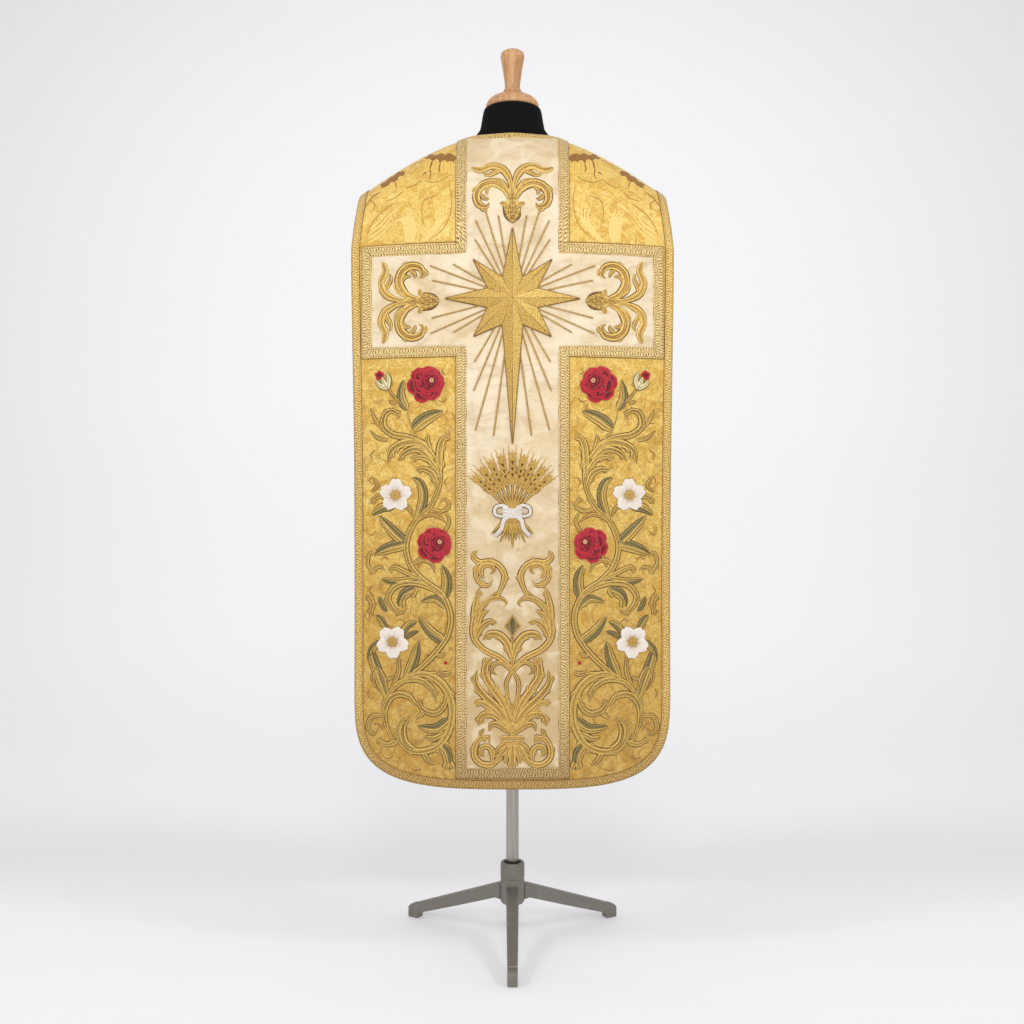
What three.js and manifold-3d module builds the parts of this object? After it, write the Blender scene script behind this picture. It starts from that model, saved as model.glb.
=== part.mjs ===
// Fiddleback chasuble on a limbless dress form with a turned wooden finial and a three-legged stand.
//
// Millimetres, +Z up. The floor is z = 0. -Y is the side of the garment's back, which carries the cross,
// +Y its front, and X runs across the shoulders. The pole stands at x = 0, y = POLE_Y, so that the origin
// is the middle of the footprint's box.
//
// Every piece of cloth is a layer of one garment surface: a grid of points is moved out along the
// surface's normals by two heights, closed round its rim, and cut to the outline of its pattern piece.
// What lies on a panel is a layer of the same points, moved further out.

import * as THREE from "three";
import { mergeVertices } from "three/addons/utils/BufferGeometryUtils.js";
import { TessellateModifier } from "three/addons/modifiers/TessellateModifier.js";
import Module from "manifold-3d";

const wasm = await Module();
wasm.setup();

// ---------------------------------------------------------------- driving dimensions

const BACK = -1;
const FRONT = 1;
const SEAM = 0.3; // gap between neighbouring pieces

const THICK = { panel: 2.4, satin: 1.2, crossBraid: 2, edgeBraid: 1.6, neckBraid: 1.8, relief: 1.8 };
const WIDE = { crossBraid: 19, edgeBraid: 14.5, neckBraid: 13 };

// The shoulder line, seen from behind: its height falls away from the neck by a power of x.
const SHOULDER = { top: 1401, drop: 115, reach: 262, power: 1.7 };

// Each panel hangs plumb below the chest line and turns over the shoulder above it. depth is the distance
// from the pole at the middle of the panel, and sag is how much nearer the side edges lie.
const CHEST_Z = 1185;
const TURN_POWER = 2.4;
const EDGE_HALF = 263;
const HANG = {
  [BACK]: { depth: 124, sagChest: 40, sagHem: 30, hemZ: 288 },
  [FRONT]: { depth: 128, sagChest: 36, sagHem: 26, hemZ: 348 },
};

// Half widths of the two panels from the shoulder tip down to where the hem's corner begins.
const BACK_EDGE = [
  { z: 1300, half: 258.5 },
  { z: 1250, half: 261.5 },
  { z: 1205, half: 267 },
  { z: 1165, half: 269.5 },
  { z: 1030, half: 267.5 },
  { z: 830, half: 264 },
  { z: 630, half: 262.3 },
  { z: 458, half: 262.3 },
];
const FRONT_EDGE = [
  { z: 1300, half: 258.5 },
  { z: 1262, half: 240 },
  { z: 1210, half: 214 },
  { z: 1140, half: 202 },
  { z: 1040, half: 202 },
  { z: 880, half: 215 },
  { z: 700, half: 230 },
  { z: 508, half: 238 },
];
const HEM = { corner: { [BACK]: 170, [FRONT]: 160 }, power: 3.8 };

// The neck opening and its braid, in plan: half width, depth at the back and depth at the front.
const NECK = { half: 79, back: 62, front: 92, power: 2.5, lowZ: 1300 };

// The cross on the back: outer edges of its braid.
const CROSS = { stemHalf: 93.8, armHalf: 252.3, armLowZ: 998, armTopZ: 1186, footZ: 304.7 };
const COLUMN = { half: 88, footZ: 364.6 };
const ABOVE = 1460; // higher than any cloth

// ---------------------------------------------------------------- the garment's surface

const clamp = THREE.MathUtils.clamp;
const rad = THREE.MathUtils.degToRad;

function shoulderZ(x) {
  return SHOULDER.top - SHOULDER.drop * (Math.abs(x) / SHOULDER.reach) ** SHOULDER.power;
}

function depthAt(side, x, z) {
  const hang = HANG[side];
  const down = THREE.MathUtils.smoothstep(CHEST_Z - z, 0, CHEST_Z - hang.hemZ);
  const sag = THREE.MathUtils.lerp(hang.sagChest, hang.sagHem, down);
  return hang.depth - sag * (x / EDGE_HALF) ** 2;
}

// How far a point lies outside the garment's inner surface, as a number that is 1 on it.
function shell(p, side) {
  const across = Math.abs(p.y) / depthAt(side, p.x, p.z);
  const up = Math.max(p.z - CHEST_Z, 0) / (shoulderZ(p.x) - CHEST_Z);
  return across ** TURN_POWER + up ** TURN_POWER;
}

function normalAt(p, side) {
  const step = 0.05;
  const slope = (axis) => {
    const more = p.clone();
    const less = p.clone();
    more[axis] += step;
    less[axis] -= step;
    return shell(more, side) - shell(less, side);
  };
  return new THREE.Vector3(slope("x"), slope("y"), slope("z")).normalize();
}

// A point of the inner surface. A row is either a height z, or a turn from 0 (chest) to 1 (shoulder line).
function rowPoint(x, row) {
  if (row.turn === undefined) return new THREE.Vector3(x, row.side * depthAt(row.side, x, row.z), row.z);
  const angle = (row.turn * Math.PI) / 2;
  const share = (v) => Math.max(v, 0) ** (2 / TURN_POWER);
  const y = row.side * depthAt(row.side, x, CHEST_Z) * share(Math.cos(angle));
  const z = CHEST_Z + (shoulderZ(x) - CHEST_Z) * share(Math.sin(angle));
  return new THREE.Vector3(x, row.turn === 1 ? 0 : y, z);
}

// The same surface where it is given as x and z, and a height above it.
function onCloth(side, x, z, height) {
  const up = clamp((z - CHEST_Z) / (shoulderZ(x) - CHEST_Z), 0, 0.999);
  const y = side * depthAt(side, x, Math.min(z, CHEST_Z)) * (1 - up ** TURN_POWER) ** (1 / TURN_POWER);
  const p = new THREE.Vector3(x, y, z);
  return p.addScaledVector(normalAt(p, side), height);
}

// ---------------------------------------------------------------- solids

function solidOf(geometry) {
  const bare = geometry.clone();
  bare.deleteAttribute("normal");
  bare.deleteAttribute("uv");
  const merged = mergeVertices(bare, 1e-3);
  return new wasm.Manifold(
    new wasm.Mesh({
      numProp: 3,
      vertProperties: new Float32Array(merged.attributes.position.array),
      triVerts: new Uint32Array(merged.index.array),
    }),
  );
}

function geometryOf(solid) {
  const mesh = solid.getMesh();
  const points = new Float32Array(mesh.numVert * 3);
  for (let i = 0; i < mesh.numVert; i++) {
    points.set(mesh.vertProperties.subarray(i * mesh.numProp, i * mesh.numProp + 3), i * 3);
  }
  const geometry = new THREE.BufferGeometry();
  geometry.setAttribute("position", new THREE.BufferAttribute(points, 3));
  geometry.setIndex(new THREE.BufferAttribute(new Uint32Array(mesh.triVerts), 1));
  geometry.computeVertexNormals();
  return geometry;
}

// A closed solid from rings of equally many points, each ring closed on itself, capped at both ends.
function solidFromRings(rings) {
  const count = rings[0].length;
  const points = rings.flat();
  const faces = [];
  for (let r = 0; r + 1 < rings.length; r++) {
    for (let i = 0; i < count; i++) {
      const a = r * count + i;
      const b = r * count + ((i + 1) % count);
      faces.push([a, b, b + count], [a, b + count, a + count]);
    }
  }
  for (const [ring, turned] of [[0, true], [rings.length - 1, false]]) {
    const middle = new THREE.Vector3();
    rings[ring].forEach((p) => middle.addScaledVector(p, 1 / count));
    points.push(middle);
    for (let i = 0; i < count; i++) {
      const a = ring * count + i;
      const b = ring * count + ((i + 1) % count);
      faces.push(turned ? [points.length - 1, b, a] : [points.length - 1, a, b]);
    }
  }
  const geometry = new THREE.BufferGeometry().setFromPoints(points);
  geometry.setIndex(faces.flat());
  return geometry;
}

// One layer of cloth: the grid of rows and columns moved out to two heights, with a wall round its rim.
function layer(rows, columns, low, high) {
  const wide = columns.length;
  const sheet = (height) =>
    rows.flatMap((row) =>
      columns.map((x) => {
        const p = rowPoint(x, row);
        return p.addScaledVector(normalAt(p, row.side), height);
      }),
    );
  const points = [...sheet(high), ...sheet(low)];
  const under = rows.length * wide;
  const faces = [];
  const at = (r, c) => r * wide + c;
  for (let r = 0; r + 1 < rows.length; r++) {
    for (let c = 0; c + 1 < wide; c++) {
      const [a, b, d, e] = [at(r, c), at(r, c + 1), at(r + 1, c + 1), at(r + 1, c)];
      faces.push([a, b, d], [a, d, e], [a + under, d + under, b + under], [a + under, e + under, d + under]);
    }
  }
  const last = rows.length - 1;
  const rim = [];
  for (let c = 0; c < wide; c++) rim.push(at(0, c));
  for (let r = 1; r <= last; r++) rim.push(at(r, wide - 1));
  for (let c = wide - 2; c >= 0; c--) rim.push(at(last, c));
  for (let r = last - 1; r > 0; r--) rim.push(at(r, 0));
  rim.forEach((a, i) => {
    const b = rim[(i + 1) % rim.length];
    faces.push([a, a + under, b + under], [a, b + under, b]);
  });
  const geometry = new THREE.BufferGeometry().setFromPoints(points);
  const turned = rows[0].side === FRONT ? faces.map(([a, b, c]) => [a, c, b]) : faces;
  geometry.setIndex(turned.flat());
  return solidOf(geometry);
}

// A flat outline in x and z, cut right through one side of the garment.
const REACH_Y = 300;
function cutter(outline, side) {
  const shape = new THREE.Shape(outline.map(([x, z]) => new THREE.Vector2(x, z)));
  const geometry = new THREE.ExtrudeGeometry(shape, { depth: REACH_Y, bevelEnabled: false });
  geometry.rotateX(Math.PI / 2);
  geometry.translate(0, side === BACK ? -SEAM / 2 : REACH_Y + SEAM / 2, 0);
  return solidOf(geometry);
}

function neckLoop(grow) {
  const count = 28;
  return Array.from({ length: count }, (_, i) => {
    const angle = (i / count) * Math.PI * 2;
    const share = (v) => Math.sign(v) * Math.abs(v) ** (2 / NECK.power);
    const depth = Math.sin(angle) < 0 ? NECK.back : NECK.front;
    const x = (NECK.half + grow) * share(Math.cos(angle));
    const y = (depth + grow) * share(Math.sin(angle));
    return new THREE.Vector2(x, y);
  });
}

function neckPlug(grow) {
  const options = { depth: ABOVE - NECK.lowZ, bevelEnabled: false };
  const geometry = new THREE.ExtrudeGeometry(new THREE.Shape(neckLoop(grow)), options);
  return solidOf(geometry.translate(0, 0, NECK.lowZ));
}

// ---------------------------------------------------------------- pattern outlines, in x and z

function mirrored(half) {
  const other = half.map(([x, z]) => [-x, z]).reverse();
  return [...half, ...other];
}

// The right half of a panel's outline, from the middle of the hem up to the shoulder tip.
function panelHalf(side, edge) {
  const { hemZ } = HANG[side];
  const half = edge.at(-1).half;
  const cornerSteps = 8;
  const points = [];
  for (let i = 1; i <= cornerSteps; i++) {
    const angle = (i / cornerSteps) * (Math.PI / 2);
    const share = (v) => Math.max(v, 0) ** (2 / HEM.power);
    points.push([half * share(Math.sin(angle)), hemZ + HEM.corner[side] * (1 - share(Math.cos(angle)))]);
  }
  const curve = new THREE.SplineCurve(edge.map((row) => new THREE.Vector2(row.half, row.z)));
  const sideSteps = 8;
  for (let i = sideSteps - 1; i >= 0; i--) {
    const p = curve.getPoint(i / sideSteps);
    points.push([p.x, p.y]);
  }
  return points;
}

// The outline moved in by a width, square to itself, and carried up past the shoulder line.
function panelOutline(side, edge, inset = 0) {
  const half = panelHalf(side, edge);
  const moved = half.map(([x, z], i) => {
    const [x0, z0] = half[Math.max(i - 1, 0)];
    const [x1, z1] = half[Math.min(i + 1, half.length - 1)];
    const along = Math.hypot(x1 - x0, z1 - z0);
    return [x - (inset * (z1 - z0)) / along, z + (inset * (x1 - x0)) / along];
  });
  const tip = moved.at(-1);
  return mirrored([...moved, [tip[0], ABOVE]]);
}

function crossOutline(inset) {
  const { stemHalf, armHalf, armLowZ, armTopZ, footZ } = CROSS;
  const stem = stemHalf - inset;
  return mirrored([
    [stem, footZ + inset],
    [stem, armLowZ + inset],
    [armHalf - inset, armLowZ + inset],
    [armHalf - inset, armTopZ - inset],
    [stem, armTopZ - inset],
    [stem, ABOVE],
  ]);
}

function columnOutline(inset) {
  return mirrored([[COLUMN.half - inset, COLUMN.footZ + inset], [COLUMN.half - inset, ABOVE]]);
}

// ---------------------------------------------------------------- grid of the garment

const COLUMN_STEP = 45.5;
const COLUMNS = Array.from({ length: 13 }, (_, i) => (i - 6) * COLUMN_STEP);
const HANG_ROWS = 4;
const TURN_ROWS = 8;

function panelRows(side) {
  const low = HANG[side].hemZ - 4;
  const rows = [];
  for (let i = 0; i < HANG_ROWS; i++) rows.push({ side, z: THREE.MathUtils.lerp(low, CHEST_Z, i / HANG_ROWS) });
  for (let i = 0; i <= TURN_ROWS; i++) rows.push({ side, turn: i / TURN_ROWS });
  return rows;
}

// The rows near the neck, up one side and down the other.
const overNeck = [
  ...panelRows(BACK).filter((row) => row.turn > 0.3),
  ...panelRows(FRONT).filter((row) => row.turn > 0.2 && row.turn < 1).reverse(),
];

const PALETTE = {
  damask: { color: 0xc99b3f, roughness: 0.55, metalness: 0.15 },
  satin: { color: 0xefe0c2, roughness: 0.5, metalness: 0 },
  braid: { color: 0xd9bd7c, roughness: 0.55, metalness: 0.2 },
  gold_thread: { color: 0xb98a35, roughness: 0.45, metalness: 0.3 },
  rose_silk: { color: 0xa31230, roughness: 0.6, metalness: 0 },
  white_silk: { color: 0xf2eef2, roughness: 0.6, metalness: 0 },
  jersey: { color: 0x16171a, roughness: 0.9, metalness: 0 },
  beech: { color: 0xd9a676, roughness: 0.5, metalness: 0 },
  steel: { color: 0xa9a8a6, roughness: 0.3, metalness: 0.9 },
  cast_iron: { color: 0x6d6a66, roughness: 0.6, metalness: 0.5 },
};
const materials = Object.fromEntries(
  Object.entries(PALETTE).map(([name, look]) => [name, new THREE.MeshStandardMaterial({ name, ...look })]),
);

const chasuble = new THREE.Group();
const dressForm = new THREE.Group();

function add(group, name, finish, geometry) {
  const mesh = new THREE.Mesh(geometry, materials[finish]);
  mesh.name = name;
  group.add(mesh);
  return mesh;
}

// ---------------------------------------------------------------- panels, satin and braids

const neckHole = neckPlug(0);
const neckBraidOuter = neckPlug(WIDE.neckBraid);
const neckClear = neckPlug(WIDE.neckBraid + SEAM);
const ON_PANEL = THICK.panel + SEAM;
const ON_SATIN = ON_PANEL + THICK.satin + SEAM;

for (const [side, name, edge] of [[BACK, "back", BACK_EDGE], [FRONT, "front", FRONT_EDGE]]) {
  const rows = panelRows(side);
  const outline = cutter(panelOutline(side, edge), side);
  const panel = layer(rows, COLUMNS, 0, THICK.panel).intersect(outline).subtract(neckHole);
  add(chasuble, `${name}_panel`, "damask", geometryOf(panel));

  const inner = cutter(panelOutline(side, edge, WIDE.edgeBraid), side);
  const braid = layer(rows, COLUMNS, ON_PANEL, ON_PANEL + THICK.edgeBraid);
  const pieces = braid.intersect(outline).subtract(inner);
  add(chasuble, `${name}_edge_braid`, "braid", geometryOf(pieces));

  const orphrey = side === BACK ? crossOutline : columnOutline;
  const satin = layer(rows, COLUMNS, ON_PANEL, ON_PANEL + THICK.satin);
  const satinCut = cutter(orphrey(WIDE.crossBraid), side);
  const satinPiece = satin.intersect(satinCut).subtract(neckClear);
  add(chasuble, side === BACK ? "back_cross" : "front_column", "satin", geometryOf(satinPiece));

  const wideBraid = layer(rows, COLUMNS, ON_PANEL, ON_PANEL + THICK.crossBraid);
  const braidPiece = wideBraid
    .intersect(cutter(orphrey(0), side))
    .subtract(cutter(orphrey(WIDE.crossBraid - SEAM), side))
    .subtract(neckClear);
  add(chasuble, side === BACK ? "back_cross_braid" : "front_column_braid", "braid", geometryOf(braidPiece));
}

const collar = layer(overNeck, COLUMNS, ON_PANEL, ON_PANEL + THICK.neckBraid);
add(chasuble, "neck_braid", "braid", geometryOf(collar.intersect(neckBraidOuter).subtract(neckHole)));

// ---------------------------------------------------------------- raised embroidery

// The outline of a stroke that runs smoothly through its points: it swells from its root, whose width is a
// share of the full one, and comes to a point at its tip.
function strokeOutline({ points, wide, root = 0.5 }) {
  const curve = new THREE.SplineCurve(points.map(([x, z]) => new THREE.Vector2(x, z)));
  const steps = points.length === 2 ? 2 : points.length + 1;
  const left = [];
  const right = [];
  for (let i = 0; i <= steps; i++) {
    const f = i / steps;
    const p = curve.getPoint(f);
    const along = curve.getTangent(f);
    const half = (wide / 2) * Math.max(Math.min(1, root + 2.2 * f) * (1 - f ** 3), 0.08);
    left.push([p.x - half * along.y, p.y + half * along.x]);
    right.push([p.x + half * along.y, p.y - half * along.x]);
  }
  return [...left, ...right.reverse()];
}

// Mirrors an outline in x, turns it by a quarter about the origin, and moves it.
function placed(outline, { flip = 1, quarter = 0, x = 0, z = 0 }) {
  return outline.map(([px, pz]) => {
    const ax = px * flip;
    return quarter === 0 ? [ax + x, pz + z] : [x - pz * quarter, z + ax * quarter];
  });
}

function joined(solids) {
  return solids.reduce((whole, next) => whole.add(next));
}

const backRows = panelRows(BACK);
function relief(name, outlines, base) {
  const cut = joined(outlines.map((outline) => cutter(outline, BACK)));
  const raised = layer(backRows, COLUMNS, base, base + THICK.relief);
  add(chasuble, name, "gold_thread", geometryOf(raised.intersect(cut)));
}

// Each table below lists strokes in x and z on the cloth, for one half of a symmetrical ornament.

// A palmette for the upper limb and both arms of the cross: +z points away from the star.
const PALMETTE = [
  { points: [[1, 4], [7, 26], [18, 39], [34, 43], [52, 37], [66, 42]], wide: 14, root: 0.35 },
  { points: [[1, -14], [13, 4], [32, 11], [49, 7], [57, -6], [53, -21], [42, -25]], wide: 15, root: 0.6 },
  { points: [[10, 2], [20, 16], [36, 23]], wide: 9 },
  { points: [[3, -30], [12, -22], [24, -19]], wide: 9 },
];
const PALMETTE_BUD = { points: [[0, 4], [0, -24], [0, -51]], wide: 26, root: 0.3 };
const PALMETTES = [
  { name: "palmette_top", x: 0, z: 1270, quarter: 0 },
  { name: "palmette_right", x: 173, z: 1090.5, quarter: -1 },
  { name: "palmette_left", x: -173, z: 1090.5, quarter: 1 },
];
for (const place of PALMETTES) {
  const strokes = PALMETTE.map(strokeOutline);
  const halves = [1, -1].flatMap((flip) => strokes.map((outline) => placed(outline, { ...place, flip })));
  relief(place.name, [...halves, placed(strokeOutline(PALMETTE_BUD), place)], ON_SATIN);
}

// The foliage that fills the foot of the stem, from its top scrolls down to its foot.
const FOLIAGE = [
  {
    points: [[27, 600], [18, 619], [13, 639], [23, 656], [40, 662], [55, 656], [60, 641], [54, 627], [40, 623], [31, 633]],
    wide: 8,
  },
  { points: [[42, 660], [57, 662], [64, 671], [58, 680]], wide: 8 },
  {
    points: [[0, 485], [21, 504], [48, 518], [63, 537], [64, 560], [56, 582], [40, 598], [21, 602], [10, 594], [15, 587]],
    wide: 9,
    root: 0.7,
  },
  { points: [[63, 562], [61, 588], [54, 619]], wide: 10 },
  { points: [[0, 500], [7, 525], [21, 541], [38, 543], [48, 533]], wide: 11 },
  { points: [[62, 531], [52, 553], [38, 564], [25, 561]], wide: 8 },
  { points: [[0, 478], [9, 491], [21, 497], [32, 491], [33, 481], [24, 476]], wide: 6 },
  { points: [[0, 484], [10, 463], [8, 442], [0, 412]], wide: 6 },
  { points: [[0, 388], [13, 426], [30, 451], [44, 475], [42, 496], [30, 505]], wide: 12 },
  { points: [[0, 386], [21, 418], [46, 442], [60, 463], [58, 484]], wide: 11 },
  { points: [[0, 384], [25, 413], [48, 430], [64, 430]], wide: 10 },
  { points: [[0, 382], [29, 409], [50, 409], [56, 392]], wide: 10 },
  { points: [[0, 378], [20, 393], [34, 395], [38, 383]], wide: 8 },
  { points: [[2, 366], [14, 352], [26, 336]], wide: 10 },
  { points: [[4, 364], [28, 333], [48, 329], [62, 342], [60, 362], [50, 373], [38, 370], [40, 358]], wide: 9 },
];
const FOLIAGE_MIDDLE = [
  { points: [[0, 372], [0, 432]], wide: 9 },
  { points: [[0, 366], [0, 326]], wide: 14 },
  { points: [[0, 486], [0, 546]], wide: 6 },
].map(strokeOutline);
const LOZENGE = [[0, 540], [12, 556], [0, 572], [-12, 556]];
const CLASP = [[-19, 364], [19, 364], [19, 376], [-19, 376]];
const foliageHalf = FOLIAGE.map(strokeOutline);
const foliageHalves = [1, -1].flatMap((flip) => foliageHalf.map((outline) => placed(outline, { flip })));
relief("foot_foliage", [...foliageHalves, ...FOLIAGE_MIDDLE, LOZENGE, CLASP], ON_SATIN);

// A tied sheaf of wheat: ears above the tie and straw below it.
const SHEAF = { z: 742, ears: 4, earTurn: 10.5, earLength: 98, straws: 3, strawTurn: 17, strawLength: 56, overlap: 8 };
const TIE = { half: 15, up: 6 };
function sheafStroke(degrees, length, wide, root) {
  const [across, up] = [Math.sin(rad(degrees)), Math.cos(rad(degrees))];
  const start = [across * -SHEAF.overlap, SHEAF.z - up * SHEAF.overlap];
  return strokeOutline({ points: [start, [across * length, SHEAF.z + up * length]], wide, root });
}
const sheafOutlines = [
  [
    [-TIE.half, SHEAF.z - TIE.up], [TIE.half, SHEAF.z - TIE.up],
    [TIE.half, SHEAF.z + TIE.up], [-TIE.half, SHEAF.z + TIE.up],
  ],
];
for (let i = -SHEAF.ears; i <= SHEAF.ears; i++) {
  sheafOutlines.push(sheafStroke(i * SHEAF.earTurn, SHEAF.earLength - Math.abs(i) * 4, 12, 0.15));
}
for (let i = -SHEAF.straws; i <= SHEAF.straws; i++) {
  sheafOutlines.push(sheafStroke(180 + i * SHEAF.strawTurn, SHEAF.strawLength, 9, 0.6));
}
relief("wheat_sheaf", sheafOutlines, ON_SATIN);

// The vine on the right-hand side panel: its stem, then its scrolls and leaves from the foot upwards.
const VINE = [
  {
    points: [
      [198, 363], [212, 405], [208, 436], [187, 459], [154, 484], [125, 513], [106, 542], [102, 576],
      [117, 609], [146, 630], [168, 655], [175, 690], [160, 728], [137, 750], [122, 780], [119, 810],
      [132, 840], [158, 868], [172, 900], [176, 936],
    ],
    wide: 9,
  },
  {
    points: [
      [187, 459], [162, 472], [136, 467], [112, 449], [101, 421], [104, 390], [121, 363], [148, 351],
      [175, 355], [187, 374], [182, 395], [165, 402],
    ],
    wide: 13,
  },
  { points: [[121, 363], [108, 345], [104, 318]], wide: 14 },
  { points: [[208, 436], [228, 490], [236, 518]], wide: 15 },
  { points: [[176, 466], [162, 500], [155, 530]], wide: 15 },
  { points: [[112, 530], [134, 548], [155, 571]], wide: 13 },
  { points: [[112, 600], [133, 617], [162, 624], [187, 617], [200, 604], [197, 588], [184, 580]], wide: 11 },
  { points: [[112, 600], [108, 630], [116, 656]], wide: 13 },
  { points: [[150, 634], [190, 628], [217, 632]], wide: 10 },
  { points: [[175, 690], [202, 684], [229, 672]], wide: 14 },
  { points: [[175, 690], [197, 710], [222, 737]], wide: 14 },
  { points: [[158, 730], [147, 765], [152, 790], [166, 800]], wide: 12 },
  { points: [[123, 790], [130, 808], [146, 813], [162, 806]], wide: 10 },
  { points: [[122, 812], [136, 828], [152, 831], [165, 824]], wide: 11 },
  { points: [[128, 832], [150, 852], [176, 853], [197, 843], [203, 820]], wide: 15 },
  { points: [[120, 800], [118, 836], [118, 858], [103, 874]], wide: 9 },
  { points: [[140, 852], [168, 866], [197, 871], [214, 886], [211, 905], [199, 911], [190, 901]], wide: 12 },
  { points: [[164, 880], [142, 897], [116, 908]], wide: 15 },
  { points: [[176, 920], [192, 930], [212, 956]], wide: 8 },
];
const vineOutlines = VINE.map(strokeOutline);
for (const [name, flip] of [["vine_right", 1], ["vine_left", -1]]) {
  relief(name, vineOutlines.map((outline) => placed(outline, { flip })), ON_PANEL);
}

// ---------------------------------------------------------------- star and flowers

// Bends a solid that was made flat, with x and z along the cloth and y as its height, onto the back.
function bend(geometry, base, longest) {
  const fine = new TessellateModifier(longest, 8).modify(geometry);
  const place = fine.attributes.position;
  for (let i = 0; i < place.count; i++) {
    const p = onCloth(BACK, place.getX(i), place.getZ(i), base + place.getY(i));
    place.setXYZ(i, p.x, p.y, p.z);
  }
  return fine;
}

const STAR = { z: 1094, edge: 1.2, ridge: 3.4, middle: 5.4, longest: 44 };
// Tips and the notches between them, clockwise from the top: x and z from the star's middle.
const STAR_POINTS = [
  { tip: [0, 114], notch: [15.8, 33] },
  { tip: [64, 63], notch: [40, 15.6] },
  { tip: [110, 0], notch: [40, -15.6] },
  { tip: [63, -63], notch: [16.4, -43] },
  { tip: [0, -239], notch: [-16.4, -43] },
  { tip: [-63, -63], notch: [-40, -15.6] },
  { tip: [-110, 0], notch: [-40, 15.6] },
  { tip: [-64, 63], notch: [-15.8, 33] },
];

function starGeometry() {
  const raised = ([x, z], height) => new THREE.Vector3(x, height, STAR.z + z);
  const points = [raised([0, 0], STAR.middle), raised([0, 0], 0)];
  const MIDDLE = 0;
  const UNDER = 1;
  // Each ray has its tip, the notch after it, both again on the cloth, and a high point on its spine.
  const rays = STAR_POINTS.map(({ tip, notch }) => {
    const spine = [tip[0] * 0.45, tip[1] * 0.45];
    const first = points.push(raised(tip, STAR.edge), raised(notch, STAR.edge)) - 2;
    points.push(raised(tip, 0), raised(notch, 0), raised(spine, STAR.ridge));
    return { tip: first, notch: first + 1, tipLow: first + 2, notchLow: first + 3, spine: first + 4 };
  });
  const faces = rays.flatMap((ray, i) => {
    const before = rays.at(i - 1);
    return [
      [MIDDLE, ray.spine, before.notch], [before.notch, ray.spine, ray.tip],
      [ray.spine, MIDDLE, ray.notch], [ray.spine, ray.notch, ray.tip],
      [UNDER, before.notchLow, ray.tipLow], [UNDER, ray.tipLow, ray.notchLow],
      [before.notch, ray.tip, ray.tipLow], [before.notch, ray.tipLow, before.notchLow],
      [ray.tip, ray.notch, ray.notchLow], [ray.tip, ray.notchLow, ray.tipLow],
    ];
  });
  const geometry = new THREE.BufferGeometry().setFromPoints(points);
  geometry.setIndex(faces.flat());
  return geometry.toNonIndexed();
}
const star = solidOf(bend(starGeometry(), ON_SATIN, STAR.longest));
add(chasuble, "star", "gold_thread", geometryOf(star));

// A flower head on its own small plane, square to the cloth: rings of petals, one inside another.
function flower({ x, z, radius, petals, lobe, turn, rings, base }) {
  const around = petals * 3;
  const foot = onCloth(BACK, x, z, base);
  const out = onCloth(BACK, x, z, base + 1).sub(foot);
  const toCloth = new THREE.Matrix4().makeBasis(
    new THREE.Vector3(1, 0, 0).addScaledVector(out, -out.x).normalize(),
    out,
    new THREE.Vector3(0, 0, 1).addScaledVector(out, -out.z).normalize(),
  );
  const made = rings.map(({ share, height }) =>
    Array.from({ length: around }, (_, i) => {
      const angle = (i / around) * Math.PI * 2;
      const petal = 1 - lobe * (1 - Math.abs(Math.cos((petals * angle) / 2 + rad(turn))) ** 0.6);
      const r = radius * share * petal;
      const p = new THREE.Vector3(r * Math.cos(angle), height, r * Math.sin(angle));
      return p.applyMatrix4(toCloth).add(foot);
    }),
  );
  return solidFromRings(made);
}

const ROSE_RINGS = [
  { share: 1, height: 0 },
  { share: 0.96, height: 2.4 },
  { share: 0.64, height: 3.8 },
  { share: 0.5, height: 5.4 },
  { share: 0.24, height: 4.2 },
];
const WHITE_RINGS = [
  { share: 1, height: 0 },
  { share: 0.95, height: 2 },
  { share: 0.5, height: 2.6 },
  { share: 0.2, height: 3.6 },
];
const ON_VINE = ON_PANEL + THICK.relief + SEAM;
// The flower heads lie on the panel; the bud lies on the end of its stem.
const ROSE = { petals: 6, lobe: 0.1, rings: ROSE_RINGS, finish: "rose_silk", base: ON_PANEL };
const WHITE = { petals: 5, lobe: 0.42, rings: WHITE_RINGS, finish: "white_silk", base: ON_PANEL };
const BUD = { petals: 5, lobe: 0.2, rings: WHITE_RINGS, finish: "rose_silk", base: ON_VINE };
const FLOWERS = [
  { ...ROSE, name: "rose_upper", x: 141.5, z: 955, radius: 31, turn: 10 },
  { ...ROSE, name: "rose_lower", x: 128, z: 690, radius: 29.5, turn: 40 },
  { ...WHITE, name: "white_upper", x: 193, z: 771, radius: 27.5, turn: 20 },
  { ...WHITE, name: "white_lower", x: 198, z: 528, radius: 27.5, turn: 50 },
  { ...BUD, name: "bud", x: 215, z: 963, radius: 14, turn: 0 },
];
for (const [suffix, flip] of [["right", 1], ["left", -1]]) {
  for (const row of FLOWERS) {
    const head = flower({ ...row, x: row.x * flip });
    add(chasuble, `${row.name}_${suffix}`, row.finish, head);
  }
}

// ---------------------------------------------------------------- dress form and stand

const REST_GAP = 1.1; // between the form's shoulders and the cloth that lies on them
const BUST_SIDES = 20;
const BUST_FOOT_Z = 690;

// Level rings of the form, from the foot up: half width, depth behind and depth before the pole.
const BUST = [
  { z: BUST_FOOT_Z, half: 164, back: 105, front: 98 },
  { z: 702, half: 172, back: 112, front: 104 },
  { z: 780, half: 175, back: 114, front: 106 },
  { z: 860, half: 166, back: 108, front: 104 },
  { z: 940, half: 158, back: 102, front: 103 },
  { z: 1020, half: 165, back: 106, front: 110 },
  { z: 1120, half: 178, back: 114, front: 119 },
  { z: 1200, half: 186, back: 113, front: 118 },
  { z: 1260, half: 194, back: 106, front: 110 },
  { z: 1300, half: 197, back: 98, front: 102 },
  { z: 1325, half: 192, back: 89, front: 92 },
];
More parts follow.
